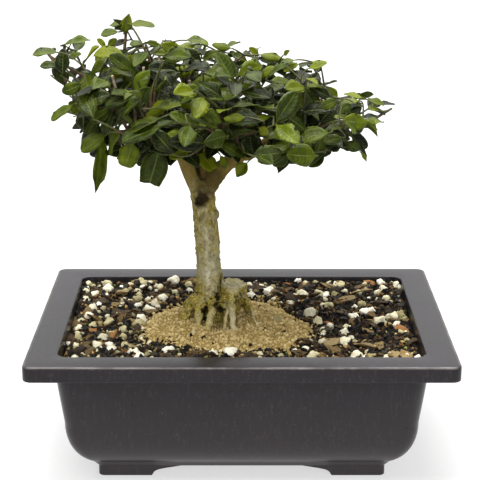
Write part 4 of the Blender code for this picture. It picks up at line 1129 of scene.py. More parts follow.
def cadLeaves(shoots):
    # the leaves of the CAD sprays, each found again by the tip that it left in its node's mesh
    leaves = []
    for index, (shoot, (_, _, pairs, size)) in enumerate(zip(shoots, crown["sprays"]), 1):
        tips = treeOf([vert.co for vert in frame["nodes"][f"spray_{index:02d}"].data.vertices])
        rings, frames = stemRings(shoot, pairs)
        axis = frames[-1][0]
        places = [(sum(rings[-1], Vector()) / 4, axis, axis, 0.85)]
        for pair in range(pairs):
            span = 2 * pair + 1
            axis, across, out = frames[span]
            upright = axis.z > 0.75 and pair % 2 == 1
            share = 1.0 - 0.1 * (pairs - 1 - pair) - 0.08 * pair
            for side, sign in ((0, 1), (2, -1)) if upright else ((3, 1), (1, -1)):
                corners = [rings[span + step][(side + turn) % 4] for step in (0, 1) for turn in (0, 1)]
                places.append((sum(corners, Vector()) / 4, axis, sign * (out if upright else across), share))
        for number, (base, axis, facing, share) in enumerate(places):
            chance = random.Random(100 * index + number)
            tint = random.Random(7 * index + number).random()
            for pose in leafPoses(base, axis, facing, size * mm * share, chance):
                if all(tips.find(leafTip(pose, side))[2] < 0.0001 for side in (1, -1)):
                    leaves.append({"pose": pose, "young": 0.0, "tint": tint})
                    break
    return leaves


# leaves

leafForm = {
    "stations": (0, 0.05, 0.11, 0.20, 0.32, 0.45, 0.58, 0.70, 0.81, 0.91, 0.97, 1.0),
    "halves": (0.045, 0.04, 0.14, 0.29, 0.43, 0.50, 0.485, 0.40, 0.28, 0.15, 0.07, 0.01),
    "across": (-1, -0.5, 0, 0.5, 1),
    "thickness": 0.018,
    "blunt": (0.045, 0.04, 0.15, 0.31, 0.45, 0.50, 0.49, 0.44, 0.35, 0.24, 0.14, 0.03),
    "broad": (0.045, 0.04, 0.12, 0.26, 0.40, 0.49, 0.50, 0.46, 0.38, 0.26, 0.15, 0.03),
    # fold, arch, edge wave, phase, sickle and outline of each kind
    "kinds": (
        (0.17, 0.07, 0.5, 0.1, 0.3, "halves"), (0.17, 0.13, 1.0, 0.6, -0.4, "blunt"),
        (0.20, 0.10, 0.8, 0.3, 0.8, "broad"), (0.25, 0.07, 0.7, 0.8, -0.6, "blunt"),
        (0.25, 0.13, 1.3, 0.2, 0.2, "halves"), (0.28, 0.10, 1.0, 0.5, -0.9, "broad"),
        (0.33, 0.07, 0.6, 0.4, 0.5, "broad"), (0.33, 0.13, 1.2, 0.9, -0.2, "halves"),
        (0.37, 0.10, 0.9, 0.7, 0.7, "blunt"),
    ),
    # these follow the kinds above: a torn hanging leaf, a square bitten tip, a notched one and a rolled one
    "odd": {
        "hanging": {"fold": 0.7, "arch": 0.06, "wave": 1.6,
                    "halves": (0.045, 0.04, 0.20, 0.38, 0.47, 0.50, 0.49, 0.42, 0.22, 0.14, 0.06, 0.01)},
        "square": {"fold": 0.2, "arch": 0.08, "wave": 0.4, "bite": 0.24,
                   "halves": (0.045, 0.04, 0.13, 0.30, 0.43, 0.48, 0.49, 0.47, 0.43, 0.40, 0.38, 0.36)},
        "notched": {"fold": 0.15, "arch": 0.12, "wave": 0.7, "bite": 0.08,
                    "halves": (0.045, 0.04, 0.17, 0.34, 0.47, 0.50, 0.44, 0.47, 0.40, 0.36, 0.28, 0.18)},
        "rolled": {"fold": 1.3, "arch": 0.35, "wave": 0.3, "halves": None},
        "cupped": {"fold": -0.35, "arch": 0.26, "wave": 0.9,
                   "halves": (0.045, 0.04, 0.15, 0.31, 0.45, 0.50, 0.49, 0.43, 0.32, 0.20, 0.10, 0.02)},
    },
    # leaves that hang free: kind, stalk, tip, width, which way the upper face looks, young, tint
    "placed": (
        ("hanging", (-70, -30, 178), (-74, -32, 147), 7, (0.2, -1.0, 0.2), 0.0, 0.6),
        ("notched", (-54, -40, 176), (-58, -43, 164), 11, (0.1, -1.0, 0.3), 0.0, 0.75),
        ("square", (-41, -40, 173), (-46, -43, 155), 14, (0.1, -1.0, 0.3), 0.0, 0.3),
        ("rolled", (3, -20, 161), (-3, -22, 154), 7, (0.4, -0.5, 0.8), 0.0, 0.9),
        ("notched", (-23, -14, 165), (-14, -21, 158), 9, (0.0, -0.8, 0.7), 0.8, 0.5),
    ),
}
leafLooks = {
    # the upper face's ramp, the underside, edge with its painted highlight, midrib, what comes through and
    # its share, and roughness
    "old privet leaf": (((0.0, "#0f1602"), (0.35, "#2f3c02"), (0.7, "#505d06"), (1.0, "#707a10")),
                        "#4e5c22", "#7f8a42", "#8c9a4c", "#4c8404", 0.10, 0.33),
    "young privet leaf": (((0.0, "#505e08"), (0.4, "#6e780c"), (0.75, "#888810"), (1.0, "#a09818")),
                          "#7c8630", "#a4a850", "#acb058", "#a8b40e", 0.28, 0.38),
}
leafShade = {
    # a leaf is shaded by those within this reach above it, on the side that the light comes from
    "reach": 24, "light": (-0.2, -0.5, 0.84), "within": 0.55,
    "scale": 0.66, "power": 1.7, "least": 0.33, "each": 0.2,  # tint, and what each such leaf takes from it
}
# leaves that the photo shows one by one, listed in two parts of it that were enlarged
photo = {
    "side": 480, "zoom": 5, "corners": {"left": (20, 6), "right": (192, 29)},
    "gap": 1.6, "slope": 1.0, "nearest": -66,  # mm in front of what lies behind, and how far forward at most
    "shape": 0.62, "widest": 13.5, "steepest": 68,  # width by length, mm, and degrees turned from the eye
    "high": (203, 214), "forward": -33, "back": (-20, -16),  # leaves of the top stand further back
    "along": (0.05, 0.2, 0.35, 0.5, 0.65, 0.8, 1.0), "across": (-0.5, -0.25, 0, 0.25, 0.5),  # where it looks
    "fewest": 4, "neighbours": 12,
    # part, stalk, tip and width in enlarged pixels, young, tint, and the kind where it isn't plain
    "leaves": (
        ("left", (490, 128), (402, 145), 38, 0.0, 0.55), ("left", (522, 138), (540, 45), 62, 0.0, 0.8),
        ("left", (545, 95), (672, 92), 34, 0.6, 0.1), ("left", (225, 195), (348, 158), 42, 0.0, 0.6),
        ("left", (190, 238), (62, 240), 44, 0.0, 0.55), ("left", (240, 265), (305, 232), 36, 0.0, 0.5),
        ("left", (200, 300), (105, 300), 44, 0.0, 0.4), ("left", (200, 308), (222, 372), 64, 0.0, 0.2),
        ("left", (312, 390), (207, 425), 70, 0.0, 0.5), ("left", (265, 488), (152, 562), 48, 0.0, 0.6),
        ("left", (430, 205), (385, 162), 30, 0.0, 0.9), ("left", (438, 205), (478, 165), 36, 0.6, 0.0),
        ("left", (620, 190), (545, 192), 30, 0.0, 0.6), ("left", (700, 190), (640, 180), 32, 0.6, 0.0),
        ("left", (880, 190), (762, 196), 45, 0.0, 0.9, "cupped"),
        ("left", (830, 175), (938, 182), 34, 0.0, 0.7), ("left", (800, 212), (905, 290), 84, 0.0, 0.15),
        ("left", (990, 225), (915, 262), 46, 0.0, 0.6),
        ("right", (200, 95), (110, 60), 46, 0.6, 0.1, "cupped"),
        ("right", (190, 125), (277, 160), 44, 0.0, 0.6),
        ("right", (338, 132), (450, 125), 46, 0.6, 0.25, "cupped"),
        ("right", (332, 134), (292, 97), 34, 0.0, 1.0), ("right", (455, 137), (487, 108), 24, 0.6, 0.0),
        ("right", (520, 160), (430, 165), 26, 0.0, 0.6), ("right", (580, 200), (670, 160), 46, 0.0, 1.0),
        ("right", (540, 175), (450, 205), 42, 0.0, 1.0), ("right", (735, 345), (682, 290), 42, 0.6, 0.1),
        ("right", (855, 345), (762, 320), 28, 0.0, 1.0), ("right", (835, 362), (750, 370), 32, 0.0, 0.9),
        ("right", (872, 352), (962, 372), 34, 0.6, 0.1), ("right", (940, 412), (880, 388), 22, 0.0, 0.9),
        ("right", (825, 480), (955, 450), 30, 0.0, 0.7),
        ("right", (840, 478), (935, 502), 14, 0.0, 0.8, "rolled"),
        ("right", (768, 560), (842, 600), 56, 0.0, 0.35), ("right", (840, 605), (880, 658), 20, 0.6, 0.2),
        ("left", (450, 258), (355, 332), 60, 0.0, 0.75),
        ("left", (545, 240), (520, 293), 52, 0.6, 0.3, "cupped"),
        ("left", (740, 240), (660, 236), 40, 0.0, 0.7), ("right", (500, 270), (398, 250), 36, 0.6, 0.0),
        ("right", (430, 192), (335, 228), 56, 0.6, 0.3, "cupped"),
        ("right", (480, 278), (310, 328), 54, 0.0, 0.3), ("right", (545, 290), (632, 412), 95, 0.0, 0.35),
        ("right", (735, 358), (645, 392), 62, 0.0, 0.45), ("right", (800, 378), (742, 420), 56, 0.0, 0.35),
        ("right", (800, 442), (705, 437), 18, 0.0, 0.9), ("right", (762, 490), (660, 495), 36, 0.0, 0.5),
        ("right", (755, 545), (655, 552), 58, 0.0, 0.4), ("left", (550, 282), (545, 412), 86, 0.0, 0.3),
        ("left", (462, 440), (315, 470), 82, 0.0, 0.25), ("left", (385, 558), (335, 642), 76, 0.0, 0.25),
        ("left", (465, 530), (410, 650), 60, 0.0, 0.2), ("left", (455, 512), (348, 583), 70, 0.0, 0.4),
        ("left", (555, 455), (422, 488), 58, 0.0, 0.3), ("left", (615, 452), (487, 555), 62, 0.0, 0.4),
        ("left", (718, 400), (635, 422), 56, 0.0, 0.35),
        ("left", (745, 330), (858, 300), 66, 0.6, 0.35, "cupped"),
        ("left", (968, 348), (808, 385), 62, 0.6, 0.2, "cupped"),
        ("right", (85, 350), (232, 322), 66, 0.0, 0.55), ("right", (320, 380), (200, 390), 32, 0.0, 0.55),
        ("right", (30, 398), (147, 462), 70, 0.0, 0.5),
        ("right", (272, 440), (166, 430), 56, 0.6, 0.3, "cupped"),
        ("right", (445, 420), (572, 502), 80, 0.0, 0.25), ("right", (392, 440), (260, 470), 46, 0.0, 0.6),
        ("right", (330, 490), (378, 522), 50, 0.6, 0.4), ("right", (310, 505), (176, 538), 36, 0.0, 0.6),
        ("right", (320, 540), (482, 545), 46, 0.0, 0.55), ("right", (515, 560), (383, 608), 78, 0.0, 0.6),
        ("right", (485, 630), (400, 680), 62, 0.0, 0.25), ("right", (640, 552), (625, 630), 66, 0.0, 0.3),
        ("right", (668, 620), (583, 686), 62, 0.0, 0.15), ("right", (690, 520), (524, 556), 92, 0.0, 0.5),
        ("left", (500, 590), (440, 735), 50, 0.0, 0.7), ("left", (432, 640), (305, 728), 76, 0.0, 0.55),
        ("left", (702, 562), (548, 622), 48, 0.0, 0.6), ("left", (712, 600), (508, 668), 88, 0.0, 0.3),
        ("left", (742, 462), (620, 538), 66, 0.6, 0.35, "cupped"),
        ("left", (678, 512), (812, 482), 50, 0.0, 0.75), ("left", (905, 605), (750, 528), 72, 0.0, 0.45),
        ("left", (832, 630), (715, 650), 50, 0.0, 0.85), ("left", (840, 545), (992, 592), 70, 0.0, 0.45),
        ("right", (100, 560), (272, 632), 62, 0.0, 0.4), ("left", (857, 708), (742, 752), 62, 0.0, 1.0),
        ("right", (140, 628), (166, 702), 42, 0.0, 0.9),
    ),
}


def makeLeafShape(name, fold, arch, wave, phase=0.2, sickle=0.2, halves=None, bite=0):
    # a blade of unit length and width with a short stalk, closed round its edge
    f = leafForm
    bm = bmesh.new()
    plan = bm.loops.layers.uv.new("leafPlan")
    under = bm.faces.layers.float.new("under")
    rings, places = [], {}
    for x, half in zip(f["stations"], halves or f["halves"]):
        blade = x > 0.08  # the rest is the stalk
        thick = f["thickness"] if blade else 0.05
        ring = []
        for i, s in enumerate((*f["across"], *f["across"][3:0:-1])):
            lift = 0.63 * fold * half * abs(s) * (1.25 - 0.25 * abs(s)) - arch * x * x
            curl = 0.035 * wave * math.sin(2 * math.pi * (1.6 * x + phase)) * s * abs(s) * min(1, 3 * x)
            if i < len(f["across"]):
                rise = 0 if abs(s) == 1 else thick / 2 - (0.008 if s == 0 and blade else 0)
            else:
                rise = -thick / 2 - (0.012 if s == 0 else 0)
            vert = bm.verts.new((x - (bite if s == 0 and x == 1 else 0),
                                 s * half + 0.06 * sickle * math.sin(math.pi * x), lift + curl + rise))
            places[vert] = (x, 0.5 + 0.5 * s)
            ring.append(vert)
        rings.append(ring)
    bridge(bm, rings)
    for number, face in enumerate(bm.faces):
        face[under] = float(number % len(rings[0]) >= 4)
    bm.faces.new(list(reversed(rings[0])))
    bm.faces.new(rings[-1])
    for face in bm.faces:
        for loop in face.loops:
            loop[plan].uv = places[loop.vert]
    bmesh.ops.recalc_face_normals(bm, faces=bm.faces)
    return addPiece(name, bm)


def leafMaterial(name, stops, underside, edge, rib, glow, share, roughness):
    # privet leaves: leathery, glossy above with a pale midrib, a pale edge that is also a painted highlight,
    # duller below, and light comes through
    material, add, shader, place = startMaterial(name, roughness, 1.45, 0.2)
    x, y, _ = add("SeparateXYZ", {0: add("UVMap", {"uv_map": "leafPlan"})}).outputs
    # tint: each leaf's tone, with the painted shade of the crown's depth
    tint, below = (add("Attribute", {"attribute_name": label}).outputs["Fac"] for label in ("tint", "under"))
    cloud = add("TexNoise", {"Scale": 190, "Detail": 4, "Vector": place})
    shift = add("MapRange", {
        "Value": cloud, "From Min": 0.25, "From Max": 0.75, "To Min": -0.25, "To Max": 0.25})
    tone = add("Math", {"operation": "ADD", "use_clamp": True, 0: tint, 1: shift})
    colour = add("ValToRGB", {"stops": stops, 0: tone})

    # how far a point is from the midrib, 0 to 1
    centred = add("Math", {"operation": "MULTIPLY_ADD", 0: y, 1: 2.0, 2: -1.0})
    away = add("Math", {"operation": "ABSOLUTE", 0: centred})
    midrib = add("MapRange", {"Value": away, "From Min": 0.085, "From Max": 0.02})
    # the pale edge, partly a painted highlight
    paleEdgeAndHighlight = add("MapRange", {"Value": away, "From Min": 0.88, "From Max": 0.97})

    # side veins: seven pairs that lean towards the tip
    bowed = add("Math", {"operation": "POWER", 0: away, 1: 1.25})
    lean = add("Math", {"operation": "MULTIPLY_ADD", 0: bowed, 1: -0.17, 2: x})
    wander = add("Math", {"operation": "MULTIPLY_ADD", 0: cloud, 1: 0.05, 2: lean})
    saw = add("Math", {"operation": "PINGPONG", 0: wander, 1: 0.0625})
    veins = add("MapRange", {"Value": saw, "From Min": 0.016, "From Max": 0.004})

    layers = ((veins, 0.07, rib), (midrib, 0.32, rib), (paleEdgeAndHighlight, 0.6, edge), (below, 0.7, underside))
    for part, most, tone in layers:
        amount = add("Math", {"operation": "MULTIPLY", 0: part, 1: most})
        colour = add("Mix", {"data_type": "RGBA", 0: amount, 6: colour, 7: tone})
    rough = add("Math", {"operation": "MULTIPLY_ADD", 0: below, 1: 0.25, 2: roughness})
    relief = add("Math", {"operation": "MAXIMUM", 0: veins, 1: midrib})
    sunk = add("Math", {"operation": "MULTIPLY_ADD", 0: relief, 1: -0.4, 2: cloud})
    bump = add("Bump", {"Strength": 0.6, "Distance": 0.0009, "Height": sunk})
    add(shader, {"Base Color": colour, "Roughness": rough, "Normal": bump})
    through = add("BsdfTranslucent", {"Color": glow, "Normal": bump})
    both = add("MixShader", {0: share, 1: shader, 2: through})
    add(material.node_tree.nodes["Material Output"], {"Surface": both})
    return material


def buildLeaves(add, source):
    turn, size = (add("GeometryNodeInputNamedAttribute", {"data_type": "FLOAT_VECTOR", "Name": label})
                  for label in ("turn", "size"))
    kind = add("GeometryNodeInputNamedAttribute", {"data_type": "INT", "Name": "kind"})
    shapes = add("GeometryNodeCollectionInfo", {
        "Separate Children": True, "Reset Children": True, "Collection": source["Shapes"]})
    return add("GeometryNodeInstanceOnPoints", {
        "Pick Instance": True, "Points": source["Geometry"], "Instance": shapes, "Instance Index": kind,
        "Rotation": add("FunctionNodeEulerToRotation", {0: turn}),
        "Scale": add("VectorMath", {"operation": "SCALE", 0: size, "Scale": source["Size"]})})


def buildStems(add, source):
    # tubes along lines of edges, each point's radius read from the line
    line = add("GeometryNodeMeshToCurve", {0: source["Geometry"]})
    radius = add("GeometryNodeInputNamedAttribute", {"data_type": "FLOAT", "Name": "radius"})
    thick = add("Math", {"operation": "MULTIPLY", 0: radius, 1: source["Thickness"]})
    ring = add("GeometryNodeCurvePrimitiveCircle", {"Radius": 1.0, "Resolution": source["Sides"]})
    return add("GeometryNodeCurveToMesh", {
        "Fill Caps": True, "Curve": line, "Profile Curve": ring, "Scale": thick})


def stemMaterial(name, stops, roughness):
    material, add, shader, place = startMaterial(name, roughness, 1.45)
    cloud = add("TexNoise", {"Scale": 420, "Detail": 5, "Roughness": 0.6, "Vector": place})
    colour = add("ValToRGB", {"stops": stops, 0: cloud})
    fine = add("TexNoise", {"Scale": 1800, "Detail": 3, "Vector": place})
    bump = add("Bump", {"Strength": 0.5, "Distance": 0.0003, "Height": fine})
    add(shader, {"Base Color": colour, "Normal": bump})
    return material


def leafMesh(pose):
    # the blade's middle, and the few triangles that stand for a blade where leaves are kept apart
    matrix, length, width, fold, arch = pose
    places = [(0, 0), (0.5, 0), (1, 0)] + [(x, side * y) for side in (1, -1) for x, y in crown["outline"]]
    points = [matrix @ Vector((x * length, y * width, fold * abs(y) * width - arch * length * x * x))
              for x, y in places]
    panels = []
    for a in (3, 6):
        panels += [(0, a, 1), (a, a + 1, 1), (1, a + 1, a + 2), (1, a + 2, 2)]
    return points[1], BVHTree.FromPolygons(points, panels)


def lineMesh(points, radius):
    # a three-sided sleeve round a line, to keep leaves off twigs
    verts, faces = [], []
    for i, point in enumerate(points):
        ahead = (points[min(i + 1, len(points) - 1)] - points[max(i - 1, 0)]).normalized()
        side = ahead.orthogonal().normalized()
        other = ahead.cross(side)
        for k in range(3):
            verts.append(point + radius * (side * math.cos(2.1 * k) + other * math.sin(2.1 * k)))
            if i:
                j = (k + 1) % 3
                faces.append((3 * i + k, 3 * i + j, 3 * i + j - 3, 3 * i + k - 3))
    return sum(points, Vector()) / len(points), BVHTree.FromPolygons(verts, faces)


extra = {
    "fork": (-34, 12, 152),  # nothing hangs between these x below this z
    # the crown's outline on the photo, in its pixels
    "outline": (
        (32, 54), (38, 48), (52, 47), (63, 42), (80, 36), (90, 38), (87, 45), (80, 50), (86, 56), (95, 51),
        (97, 38), (102, 28), (113, 23), (126, 15), (130, 21), (141, 17), (154, 24), (140, 24), (131, 25),
        (127, 34), (132, 42), (152, 38), (172, 43), (182, 37), (196, 37), (207, 42), (224, 38), (233, 43),
        (240, 43), (238, 50), (248, 55), (250, 48), (260, 44), (289, 50), (286, 56), (308, 61), (326, 61),
        (312, 70), (311, 76), (323, 84), (340, 88), (343, 93), (363, 92), (384, 103), (393, 108),
        (382, 119), (378, 129), (358, 131), (362, 147), (369, 160), (358, 150), (346, 151), (326, 157),
        (309, 166), (296, 157), (273, 165), (258, 159), (240, 157), (227, 160), (222, 171), (214, 170),
        (198, 160), (186, 158), (174, 160), (169, 168), (160, 184), (143, 184), (139, 160), (128, 166),
        (115, 160), (106, 150), (98, 194), (89, 172), (88, 154), (81, 150), (83, 125), (70, 112), (52, 119),
        (49, 112), (68, 100), (61, 90), (62, 80), (52, 77), (41, 70), (45, 62)),
    "nodeStep": 8.5,  # between leaf pairs on an older shoot
    "nodeFrom": 0.34,  # share of the shoot where its leaves begin
    "nodeGap": 3.5,  # between the green stem and the first of these pairs
    "shoots": 170, "choices": 90, "least": 5.5, "seed": 7, "shortest": 7, "longest": 50,
    "bends": ((0, -0.1), (0.2, -0.1), (-0.2, -0.1), (0, 0.15), (0, -0.3), (0.35, 0), (-0.35, 0)),
    "sideNodes": (0.86, 0.52), "sideLeaves": (18, 15),  # largest leaf in front, and elsewhere
    "frontUpTo": 40,  # the front ends at this x
    "youngShare": 0.15, "youngAbove": 180,  # of side shoots, and where they stand in the light
    "spread": (4, 16), "frontChance": 1.15,  # how far a tip is from a leaf, and the front comes first
    "sleeve": 0.5, "leafReach": 34, "twigReach": 60, "stalkReach": 50, "held": 1.6,
    "leafCrowd": (3, 21), "tipCrowd": (4, 23),  # how many of the first leaves have to be near, and how near
    "freeRoom": (11, 6.5),
}
bareTwigs = {
    # dead and pruned twigs that the photo shows: place and radius in mm along each
    "cut": (
        ((-61, -27, 188, 0.8), (-62, -30, 198, 0.75), (-64, -34, 208, 0.7)),
        ((-49, -22, 188, 0.8), (-49, -24, 199, 0.7), (-49, -26, 211, 0.65)),
        ((-26, -25, 188, 0.9), (-26, -28, 199, 0.85), (-26, -30, 205, 0.8)),
    ),
    "brown": (
        ((-60, -2, 204, 1.0), (-60, -4, 216, 0.9), (-58.8, -6, 226, 0.75), (-58.4, -7, 233, 0.55)),
        ((47, 1, 174, 1.1), (56, 0, 177, 0.9), (70, 0, 180, 0.8), (78, 0, 185, 0.65)),
        ((50, 1, 173, 0.8), (57, 0, 175, 0.6), (66, 0, 175, 0.45), (71, 0, 174, 0.3)),
        ((-14, 0, 192, 0.8), (-7, 0, 206, 0.6), (1, 0, 213, 0.5)),
        ((-92, 0, 203, 1.0), (-92, 0, 210, 0.95), (-91, 0, 218, 0.85)),
        ((-93, 0, 205, 0.9), (-97, 0, 210, 0.8), (-100, 0, 214, 0.7)),
        ((-80, -8, 178, 0.8), (-82, -8, 183, 0.6), (-87, -8, 194, 0.5), (-91, -8, 202, 0.4)),
        ((14, -18, 172, 0.8), (15, -27, 186, 0.7), (14, -32, 197, 0.6)),
    ),
}


half = photo["side"] / 2
focal = photo["side"] * studio["lens"] / studio["sensor"]  # in pixels
eye = Vector(studio["cameraPlace"]) / mm


def sightLine(u, v):
    # the camera's line through a pixel of the photo
    pitch = math.radians(studio["cameraPitch"])
    ahead = Vector((0, math.cos(pitch), -math.sin(pitch)))
    over = Vector((0, math.sin(pitch), math.cos(pitch)))
    return ahead + Vector(((u - half) / focal, 0, 0)) - over * (v - half) / focal


def onPhoto(u, v, y):
    # the place in mm at depth y that the camera sees at a pixel of the photo
    line = sightLine(u, v)
    return eye + line * ((y - eye.y) / line.y)


def pixelOf(place):
    ahead = sightLine(half, half)
    over = Vector((0, -ahead.z, ahead.y))
    away = (place - eye) / (place - eye).dot(ahead)
    return half + focal * away.x, half - focal * away.dot(over)


def whole(place):
    return Vector([round(value) for value in place])


crownOutline = [whole(onPhoto(u, v, 0)).xz for u, v in extra["outline"]]  # on the plane through the trunk


def hitsBehind(start, span, width, blades):
    # how near the blades are that the camera sees round a leaf's place
    aside = (-span[1] / math.hypot(*span), span[0] / math.hypot(*span))
    hits = []
    for share in photo["along"]:
        for step in photo["across"]:
            out = width * step * (1 if 0.2 < share < 0.85 else 0.3)
            line = sightLine(*(a + b * share + c * out for a, b, c in zip(start, span, aside)))
            found = [blade.ray_cast(eye, line.normalized())[0] for blade in blades]
            hits += [min((place.y for place in found if place), default=None)]
    return sorted(hit for hit in hits if hit is not None)


def layLeaf(start, end, width, depth):
    # a leaf at this depth that looks as wide as in the photo: stalk, direction, length, width and upper face
    p = photo
    base = onPhoto(*start, depth + p["slope"])
    tip = onPhoto(*end, depth - p["slope"])
    length, direction = (tip - base).length, (tip - base).normalized()
    middle = [(a + b) / 2 for a, b in zip(start, end)]
    seen = width * (onPhoto(middle[0] + 1, middle[1], depth) - onPhoto(*middle, depth)).length
    real = max(seen, min(p["shape"] * length, p["widest"]))
    if length < 1.25 * seen:  # it points at the eye
        length = 1.3 * seen
    view = (eye - (base + tip) / 2).normalized()
    facing = (view - direction * view.dot(direction)).normalized()
    side = facing.cross(direction).normalized()
    turn = min(math.acos(min(1.0, seen / real)), math.radians(p["steepest"]))
    facing = (facing * math.cos(turn) + side * math.copysign(1, side.z) * math.sin(turn)).normalized()
    return base, direction, length, real, facing


def leafPanel(base, direction, length, width, facing):
    # six triangles that stand for a laid leaf
    side = facing.cross(direction) * width
    outline = ((0, 0), (0.25, 0.33), (0.5, 0.5), (0.8, 0.28), (1, 0), (0.8, -0.28), (0.5, -0.5),
               (0.25, -0.33))
    points = [base + direction * length * x + side * y for x, y in outline]
    return BVHTree.FromPolygons(points, [(0, 1, 7), (1, 2, 6), (1, 6, 7), (2, 3, 5), (2, 5, 6), (3, 4, 5)])


def photoLeaves():
    # each leaf lies just in front of what the camera sees behind it, or else among its neighbours
    p = photo
    blades, centres = [], []
    for name, node in frame["nodes"].items():
        if name.startswith("spray"):
            blades.append(surfaceOf(node.data, mm))
            points = [vert.co / mm for vert in node.data.vertices]
            for face in node.data.polygons:
                middle = sum((points[i] for i in face.vertices), Vector()) / len(face.vertices)
                centres.append((pixelOf(middle), middle.y))
    rows = []
    for part, stalk, tip, width, young, tint, *kind in p["leaves"]:
        start, end = ([corner + value / p["zoom"] for corner, value in zip(p["corners"][part], point)]
                      for point in (stalk, tip))
        hits = hitsBehind(start, [b - a for a, b in zip(start, end)], width / p["zoom"], blades)
        if len(hits) >= p["fewest"]:
            depth = hits[1] - p["gap"]
        else:
            middle = [(a + b) / 2 for a, b in zip(start, end)]
            near = sorted(centres, key=lambda centre: math.dist(centre[0], middle))[:p["neighbours"]]
            depth = min([sorted(y for _, y in near)[4]] + [hit - p["gap"] for hit in hits])
        leaf = layLeaf(start, end, width / p["zoom"], max(depth, p["nearest"]))
        base, direction, length, real, facing = leaf
        blades.append(leafPanel(*leaf))
        base, point = whole(base), whole(base + direction * length)
        if base.z > p["high"][0] and base.y < p["forward"]:
            far = p["back"][1] if base.z > p["high"][1] else p["back"][0] - 0.35 * (p["forward"] - base.y)
            share = (far - eye.y) / (base.y - eye.y)
            base, point = whole(eye + (base - eye) * share), whole(eye + (point - eye) * share)
        facing = [round(value, 1) for value in facing]
        rows.append((*(kind or ["plain"]), base, point, round(max(real, 3)), facing, young, tint))
    return rows


def seenAt(place):
    # where the camera's line through a place meets the plane y = 0, in mm
    start = Vector(studio["cameraPlace"])
    point = start + (place - start) * (start.y / (start.y - place.y))
    return point.x / mm, point.z / mm


def insideOutline(place):
    x, z = seenAt(place)
    inside = False
    for (ax, az), (bx, bz) in zip(crownOutline, crownOutline[1:] + crownOutline[:1]):
        if (az > z) != (bz > z) and x < (bx - ax) * (z - az) / (bz - az) + ax:
            inside = not inside
    return inside


def isClear(shape, others, reach):
    # whether a shape crosses none of the others whose middles lie within this reach in mm
    centre, blade = shape
    return not any((centre - place).length < reach * mm and blade.overlap(other) for place, other in others)


def hides(place, free):
    # the first three free places are hanging leaves, and the rest only need to be seen in the middle
    seen = seenAt(place)
    return any(math.dist(seen, seenAt(other)) < extra["freeRoom"][i > 2] and place.y < other.y
               for i, other in enumerate(free))


def growLeaf(crowd, blocks, base, axis, facing, size, chance, young):
    # a leaf in the first pose that stays in the crown and crosses nothing, if there is one
    count, reach = extra["leafCrowd"]
    for pose in leafPoses(base, axis, facing, size, chance):
        middle, _ = shape = leafMesh(pose)
        if len(crowd["region"].find_range(middle, reach * mm)) < count or hides(middle, crowd["free"]) \
                or not (insideOutline(middle) and insideOutline(leafTip(pose, 1))):
            continue
        if isClear(shape, crowd["shapes"], extra["leafReach"]) and isClear(shape, blocks, extra["twigReach"]):
            tint = chance.random() * (1.0 - 0.6 * young)
            crowd["shapes"].append(shape)
            crowd["leaves"].append({"pose": pose, "young": young, "tint": tint})
            return


def growOlder(crowd, blocks, shoots):
    # pairs of leaves along the older part of each shoot of the CAD's
    for index, (shoot, (_, _, pairs, size)) in enumerate(zip(shoots, crown["sprays"])):
        length = shootLength(shoot)
        others = blocks[:index] + blocks[index + 1:]
        t, pair = greenFrom(shoot, pairs) - extra["nodeGap"] * mm / length, 0
        while t > extra["nodeFrom"]:
            axis, across, out = frameOn(shoot, t, 0.01, outward(onShoot(shoot, t)))
            for number, sign in enumerate((1, -1)):
                chance = random.Random(9000 + 100 * index + 10 * pair + number)
                facing = sign * (out if axis.z > 0.75 and pair % 2 else across)
                growLeaf(crowd, others, onShoot(shoot, t) + facing * 0.0006, axis, facing,
                         size * mm * chance.uniform(0.72, 0.95), chance, 0.0)
            t -= extra["nodeStep"] * mm / length
            pair += 1


def findAnchors(shoots):
    # where a side shoot may leave a limb or a shoot, and which way the wood runs there
    anchors = []
    for points in wood["limbs"]:
        limb = inMetres(points)
        for share in (i / 14 for i in range(5, 15)):
            place = along(limb, share)[0]
            anchors.append((place, (place - along(limb, share - 0.07)[0]).normalized()))
    for shoot, spray in zip(shoots, crown["sprays"]):
        split = greenFrom(shoot, spray[2])
        for share in (split * i / 6 for i in range(2, 7)):
            place = onShoot(shoot, share)
            anchors.append((place, (onShoot(shoot, share + 0.01) - place).normalized()))
    return anchors


def pickTip(crowd, centres, tried, dice):
    # of many places near the leaves, the one with the most room, if that is enough
    count, reach = extra["tipCrowd"]
    near, far = (distance * mm for distance in extra["spread"])
    taken = treeOf([middle for middle, _ in crowd["shapes"]] + tried)
    found = []
    for _ in range(extra["choices"]):
        spread = Vector([dice.gauss(0, 1) for _ in range(3)]).normalized() * dice.uniform(near, far)
        tip = dice.choice(centres) + spread
        if len(crowd["region"].find_range(tip, reach * mm)) >= count and insideOutline(tip):
            found.append((taken.find(tip)[2] * (extra["frontChance"] if tip.y < -0.01 else 1.0), tip))
    room, tip = max(found, key=lambda choice: choice[0], default=(0, None))
    return tip if room >= extra["least"] * mm else None


def reachTip(tip, anchors, shapes):
    # a shoot that runs to the tip without crossing a leaf, and the sleeve round it
    def effort(anchor):
        return (tip - anchor[0]).length * (1.5 - 0.5 * (tip - anchor[0]).normalized().dot(anchor[1]))
    for start, _ in sorted(anchors, key=effort)[:4]:
        reach = (tip - start).length
        if not extra["shortest"] * mm <= reach <= extra["longest"] * mm:
            continue
        aside = (tip - start).cross(up).normalized()
        for sideways, lift in extra["bends"]:
            shoot = (start, (start + tip) / 2 + reach * Vector((0, 0, lift)) + reach * sideways * aside, tip)
            sleeve = lineMesh([onShoot(shoot, i / 6) for i in range(1, 7)], extra["sleeve"] * mm)
            if isClear(sleeve, shapes, extra["twigReach"]):
                return shoot, sleeve
    return None, None


